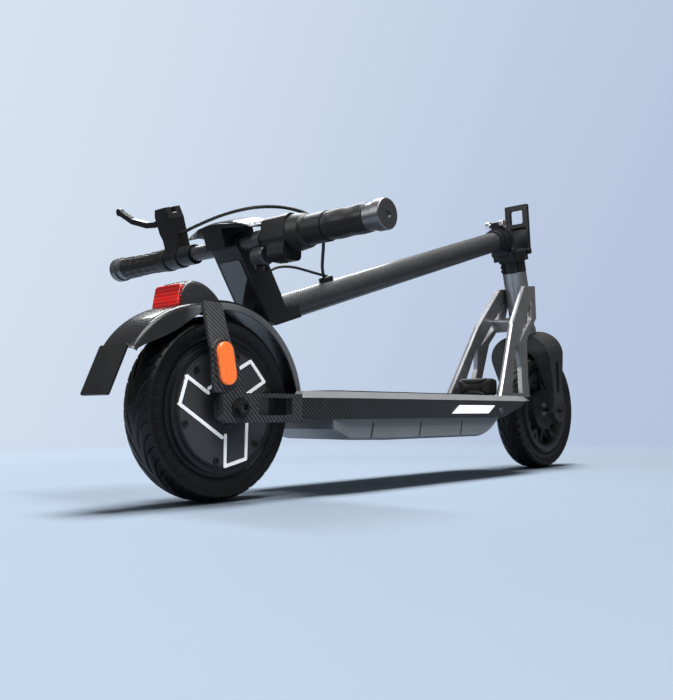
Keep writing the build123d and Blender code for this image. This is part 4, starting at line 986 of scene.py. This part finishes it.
CABLE_ROUTE = (
    (0.1705, 0.7523, 0.1055), (0.1745, 0.752, 0.084), (0.179, 0.750, 0.050), (0.183, 0.748, 0.012),
    (0.184, 0.746, -0.028), (0.182, 0.742, -0.064), (0.174, 0.728, -0.098), (0.158, 0.704, -0.116),
    (0.137, 0.676, -0.110), (0.113, 0.651, -0.084), (0.091, 0.627, -0.054), (0.075, 0.603, -0.027),
    (0.064, 0.583, -0.008), (0.0575, 0.576, -0.002))
LEAD_ROUTE = (
    (0.080, 0.7106, 0.006), (0.088, 0.690, 0.006), (0.092, 0.662, 0.007), (0.086, 0.632, 0.006),
    (0.074, 0.604, 0.004), (0.064, 0.581, 0.0025), (0.0575, 0.564, 0.002))


def run_cable(name, route, radius, node):
    """Smooth cable on the route's points, given as forward, along and across the stem."""
    curve = bpy.data.curves.new(name, "CURVE")
    curve.dimensions = "3D"
    curve.bevel_depth = radius
    curve.bevel_resolution = 5
    curve.resolution_u = 10
    curve.use_fill_caps = True
    spline = curve.splines.new("NURBS")
    spline.points.add(len(route) - 1)
    for point, (b, a, y) in zip(spline.points, route):
        point.co = (*(PIVOT + STEM_B * b + STEM_A * a + LEFT * y), 1)
    spline.order_u = 3
    spline.use_endpoint_u = True
    sleeve = grained((0.010, 0.010, 0.011), (0.022, 0.022, 0.023), 0.38, 0.5)
    curve.materials.append(finish("cable_sleeve", sleeve, 0.00004))
    piece = bpy.data.objects.new(name, curve)
    bpy.context.scene.collection.objects.link(piece)
    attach(piece, "stem")
    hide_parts(node)
    return piece


class ScooterCables(bpy.types.Operator):
    """Run the brake cable and the display lead into the stem"""

    bl_idname = "scooter.cables"
    bl_label = "Run cables"

    def execute(self, context):
        run_cable("brake_cable_run", CABLE_ROUTE, 0.0025, "brake_cable")
        run_cable("display_lead_run", LEAD_ROUTE, 0.0022, "display_lead")
        return {"FINISHED"}


def lay_floor(scene, look):
    """Round floor of pale plaster."""
    rows, columns = 40, 96
    reach = np.linspace(0.001, 4.0, rows)[:, None]
    turn = np.linspace(0, 2 * np.pi, columns, endpoint=False)[None, :]
    points = np.stack([reach * np.cos(turn), reach * np.sin(turn), 0 * (reach + turn)], -1)
    mesh = bpy.data.meshes.new("floor")
    mesh.from_pydata(points.reshape(-1, 3).tolist(), [], grid_faces(rows, columns, False, True).tolist())
    floor = bpy.data.objects.new("floor", mesh)
    scene.collection.objects.link(floor)

    def plaster(sheet, place, normal):
        """Pale plaster that thins out to the backdrop well away from the scooter."""
        cloud = sheet.noise(place, 2.5, 3.0)
        tone = tuple(look.floor)
        away = sheet.vector("LENGTH", place)
        near = sheet.mix(cloud, tuple(c * 0.97 for c in tone), tuple(c * 1.02 for c in tone))
        far = sheet.mix(sheet.step(away, 0.6, 1.9), near, tuple(c * 1.35 for c in tone))
        # Painted light: the floor is lighter towards the left and darker towards the right.
        leftward = sheet.step(sheet.vector("DOT_PRODUCT", place, (-0.67, 0.742, 0.0)), -1.2, 1.2)
        shade = sheet.blend(leftward, 0.86, 1.14)
        return {"Base Color": sheet.vector("MULTIPLY", far, sheet.triple(shade)),
                "Roughness": sheet.blend(cloud, 0.8, 0.95),
                "Alpha": sheet.rest(sheet.step(away, 0.9, 2.4))}

    mesh.materials.append(finish("pale_plaster", plaster, Specular_IOR_Level=0.0))
    return floor


def light_room(scene, look):
    """World that shows the camera a blue backdrop and gives the object an even room light."""
    world = bpy.data.worlds.new("room")
    scene.world = world
    world.use_nodes = True
    sheet = NodeSheet(world.node_tree)
    back = world.node_tree.nodes["Background"]
    ray = sheet.add("ShaderNodeTexCoord").outputs["Generated"]
    slope = sheet.step(sheet.vector("DOT_PRODUCT", ray, (-0.62, 0.69, 0.36)), -0.42, 0.62)
    seen = sheet.add("ShaderNodeLightPath").outputs["Is Camera Ray"]
    blue = sheet.mix(slope, tuple(look.backdrop_low), tuple(look.backdrop))
    sky = sheet.step(sheet.parts(ray)[2], -0.4, 0.9)
    power = look.world_power
    room = sheet.mix(sky, (power * 0.5,) * 3, (power * 1.3,) * 3)
    sheet.feed(back.inputs[0], sheet.mix(seen, room, blue))
    back.inputs[1].default_value = 1.0
    scene.view_settings.view_transform = "Standard"


def hang_lamps(scene, look, floor):
    """Four soft lamps. The floor takes light from the overhead one only."""
    unlit_floor = bpy.data.collections.new("unlit_floor")
    unlit_floor.objects.link(floor)
    unlit_floor.collection_objects[0].light_linking.link_state = "EXCLUDE"
    centre = Vector((0, 0, 0.28))
    for name, place, size, power, tint in (
            ("key_lamp", (-0.9, -1.5, 2.3), (2.0, 1.2), look.key_power, (1, 1, 1)),
            ("side_lamp", (-2.3, 0.9, 1.5), (0.7, 1.6), look.rim_power * 0.55, (1, 1, 1)),
            ("rim_lamp", (0.9, 1.7, 2.1), (1.8, 1.0), look.rim_power, (0.95, 0.98, 1)),
            ("top_lamp", (0.0, 0.0, 3.6), (2.2, 1.2), look.top_power, (1, 1, 1))):
        lamp = bpy.data.lights.new(name, "AREA")
        lamp.shape = "RECTANGLE"
        lamp.size, lamp.size_y = size
        lamp.energy = power
        lamp.color = tint
        holder = bpy.data.objects.new(name, lamp)
        holder.location = place
        holder.rotation_mode = "QUATERNION"
        holder.rotation_quaternion = (centre - Vector(place)).to_track_quat("-Z", "Y")
        scene.collection.objects.link(holder)
        if name != "top_lamp":
            holder.light_linking.receiver_collection = unlit_floor


def place_camera(scene):
    """Camera behind and to the right of the scooter, a little above the deck's underside."""
    lens = bpy.data.cameras.new("camera")
    lens.lens = CAMERA_LENS
    lens.sensor_width = 36.0
    lens.clip_start, lens.clip_end = 0.05, 60.0
    camera = bpy.data.objects.new("camera", lens)
    camera.location = CAMERA_PLACE
    yaw, pitch, roll = math.radians(CAMERA_YAW), math.radians(CAMERA_PITCH), math.radians(CAMERA_ROLL)
    forward = Vector((math.cos(yaw) * math.cos(pitch), math.sin(yaw) * math.cos(pitch), math.sin(pitch)))
    level = forward.to_track_quat("-Z", "Y").to_matrix()
    camera.rotation_mode = "QUATERNION"
    camera.rotation_quaternion = (Matrix.Rotation(roll, 3, forward) @ level).to_quaternion()
    scene.collection.objects.link(camera)
    scene.camera = camera


class ScooterStage(bpy.types.Operator):
    """Set the pale floor, the soft lamps and the camera"""

    bl_idname = "scooter.stage"
    bl_label = "Set stage"

    def execute(self, context):
        scene, look = context.scene, context.scene.scooter_studio
        floor = lay_floor(scene, look)
        light_room(scene, look)
        hang_lamps(scene, look, floor)
        place_camera(scene)
        return {"FINISHED"}


class ScooterPanel(bpy.types.Panel):
    """Lists the scooter's operators and sizes"""

    bl_idname = "VIEW3D_PT_scooter"
    bl_label = "Folding scooter"
    bl_space_type = "VIEW_3D"
    bl_region_type = "UI"
    bl_category = "Scooter"

    def draw(self, context):
        for operator in OPERATORS:
            self.layout.operator(operator.bl_idname)
        scene = context.scene
        for group in (scene.scooter_finish, scene.scooter_tyres, scene.scooter_studio):
            for name in group.__annotations__:
                self.layout.prop(group, name)


OPERATORS = (ScooterPaint, ScooterTyres, ScooterGrips, ScooterFender, ScooterFoldParts, ScooterCables,
             ScooterStage)
GROUP_CLASSES = (ScooterFinishSettings, ScooterTyreSettings, ScooterStudioSettings)


def register():
    for item in (*GROUP_CLASSES, *OPERATORS, ScooterPanel):
        bpy.utils.register_class(item)
    bpy.types.Scene.scooter_finish = bpy.props.PointerProperty(type=ScooterFinishSettings)
    bpy.types.Scene.scooter_tyres = bpy.props.PointerProperty(type=ScooterTyreSettings)
    bpy.types.Scene.scooter_studio = bpy.props.PointerProperty(type=ScooterStudioSettings)


def unregister():
    for name in ("scooter_studio", "scooter_tyres", "scooter_finish"):
        delattr(bpy.types.Scene, name)
    for item in (ScooterPanel, *OPERATORS[::-1], *GROUP_CLASSES[::-1]):
        bpy.utils.unregister_class(item)


def main():
    """Registers the add-on and runs its operators in order."""
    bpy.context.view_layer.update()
    register()
    for operator in OPERATORS:
        area, name = operator.bl_idname.split(".")
        getattr(getattr(bpy.ops, area), name)()


if __name__ == "__main__":
    main()
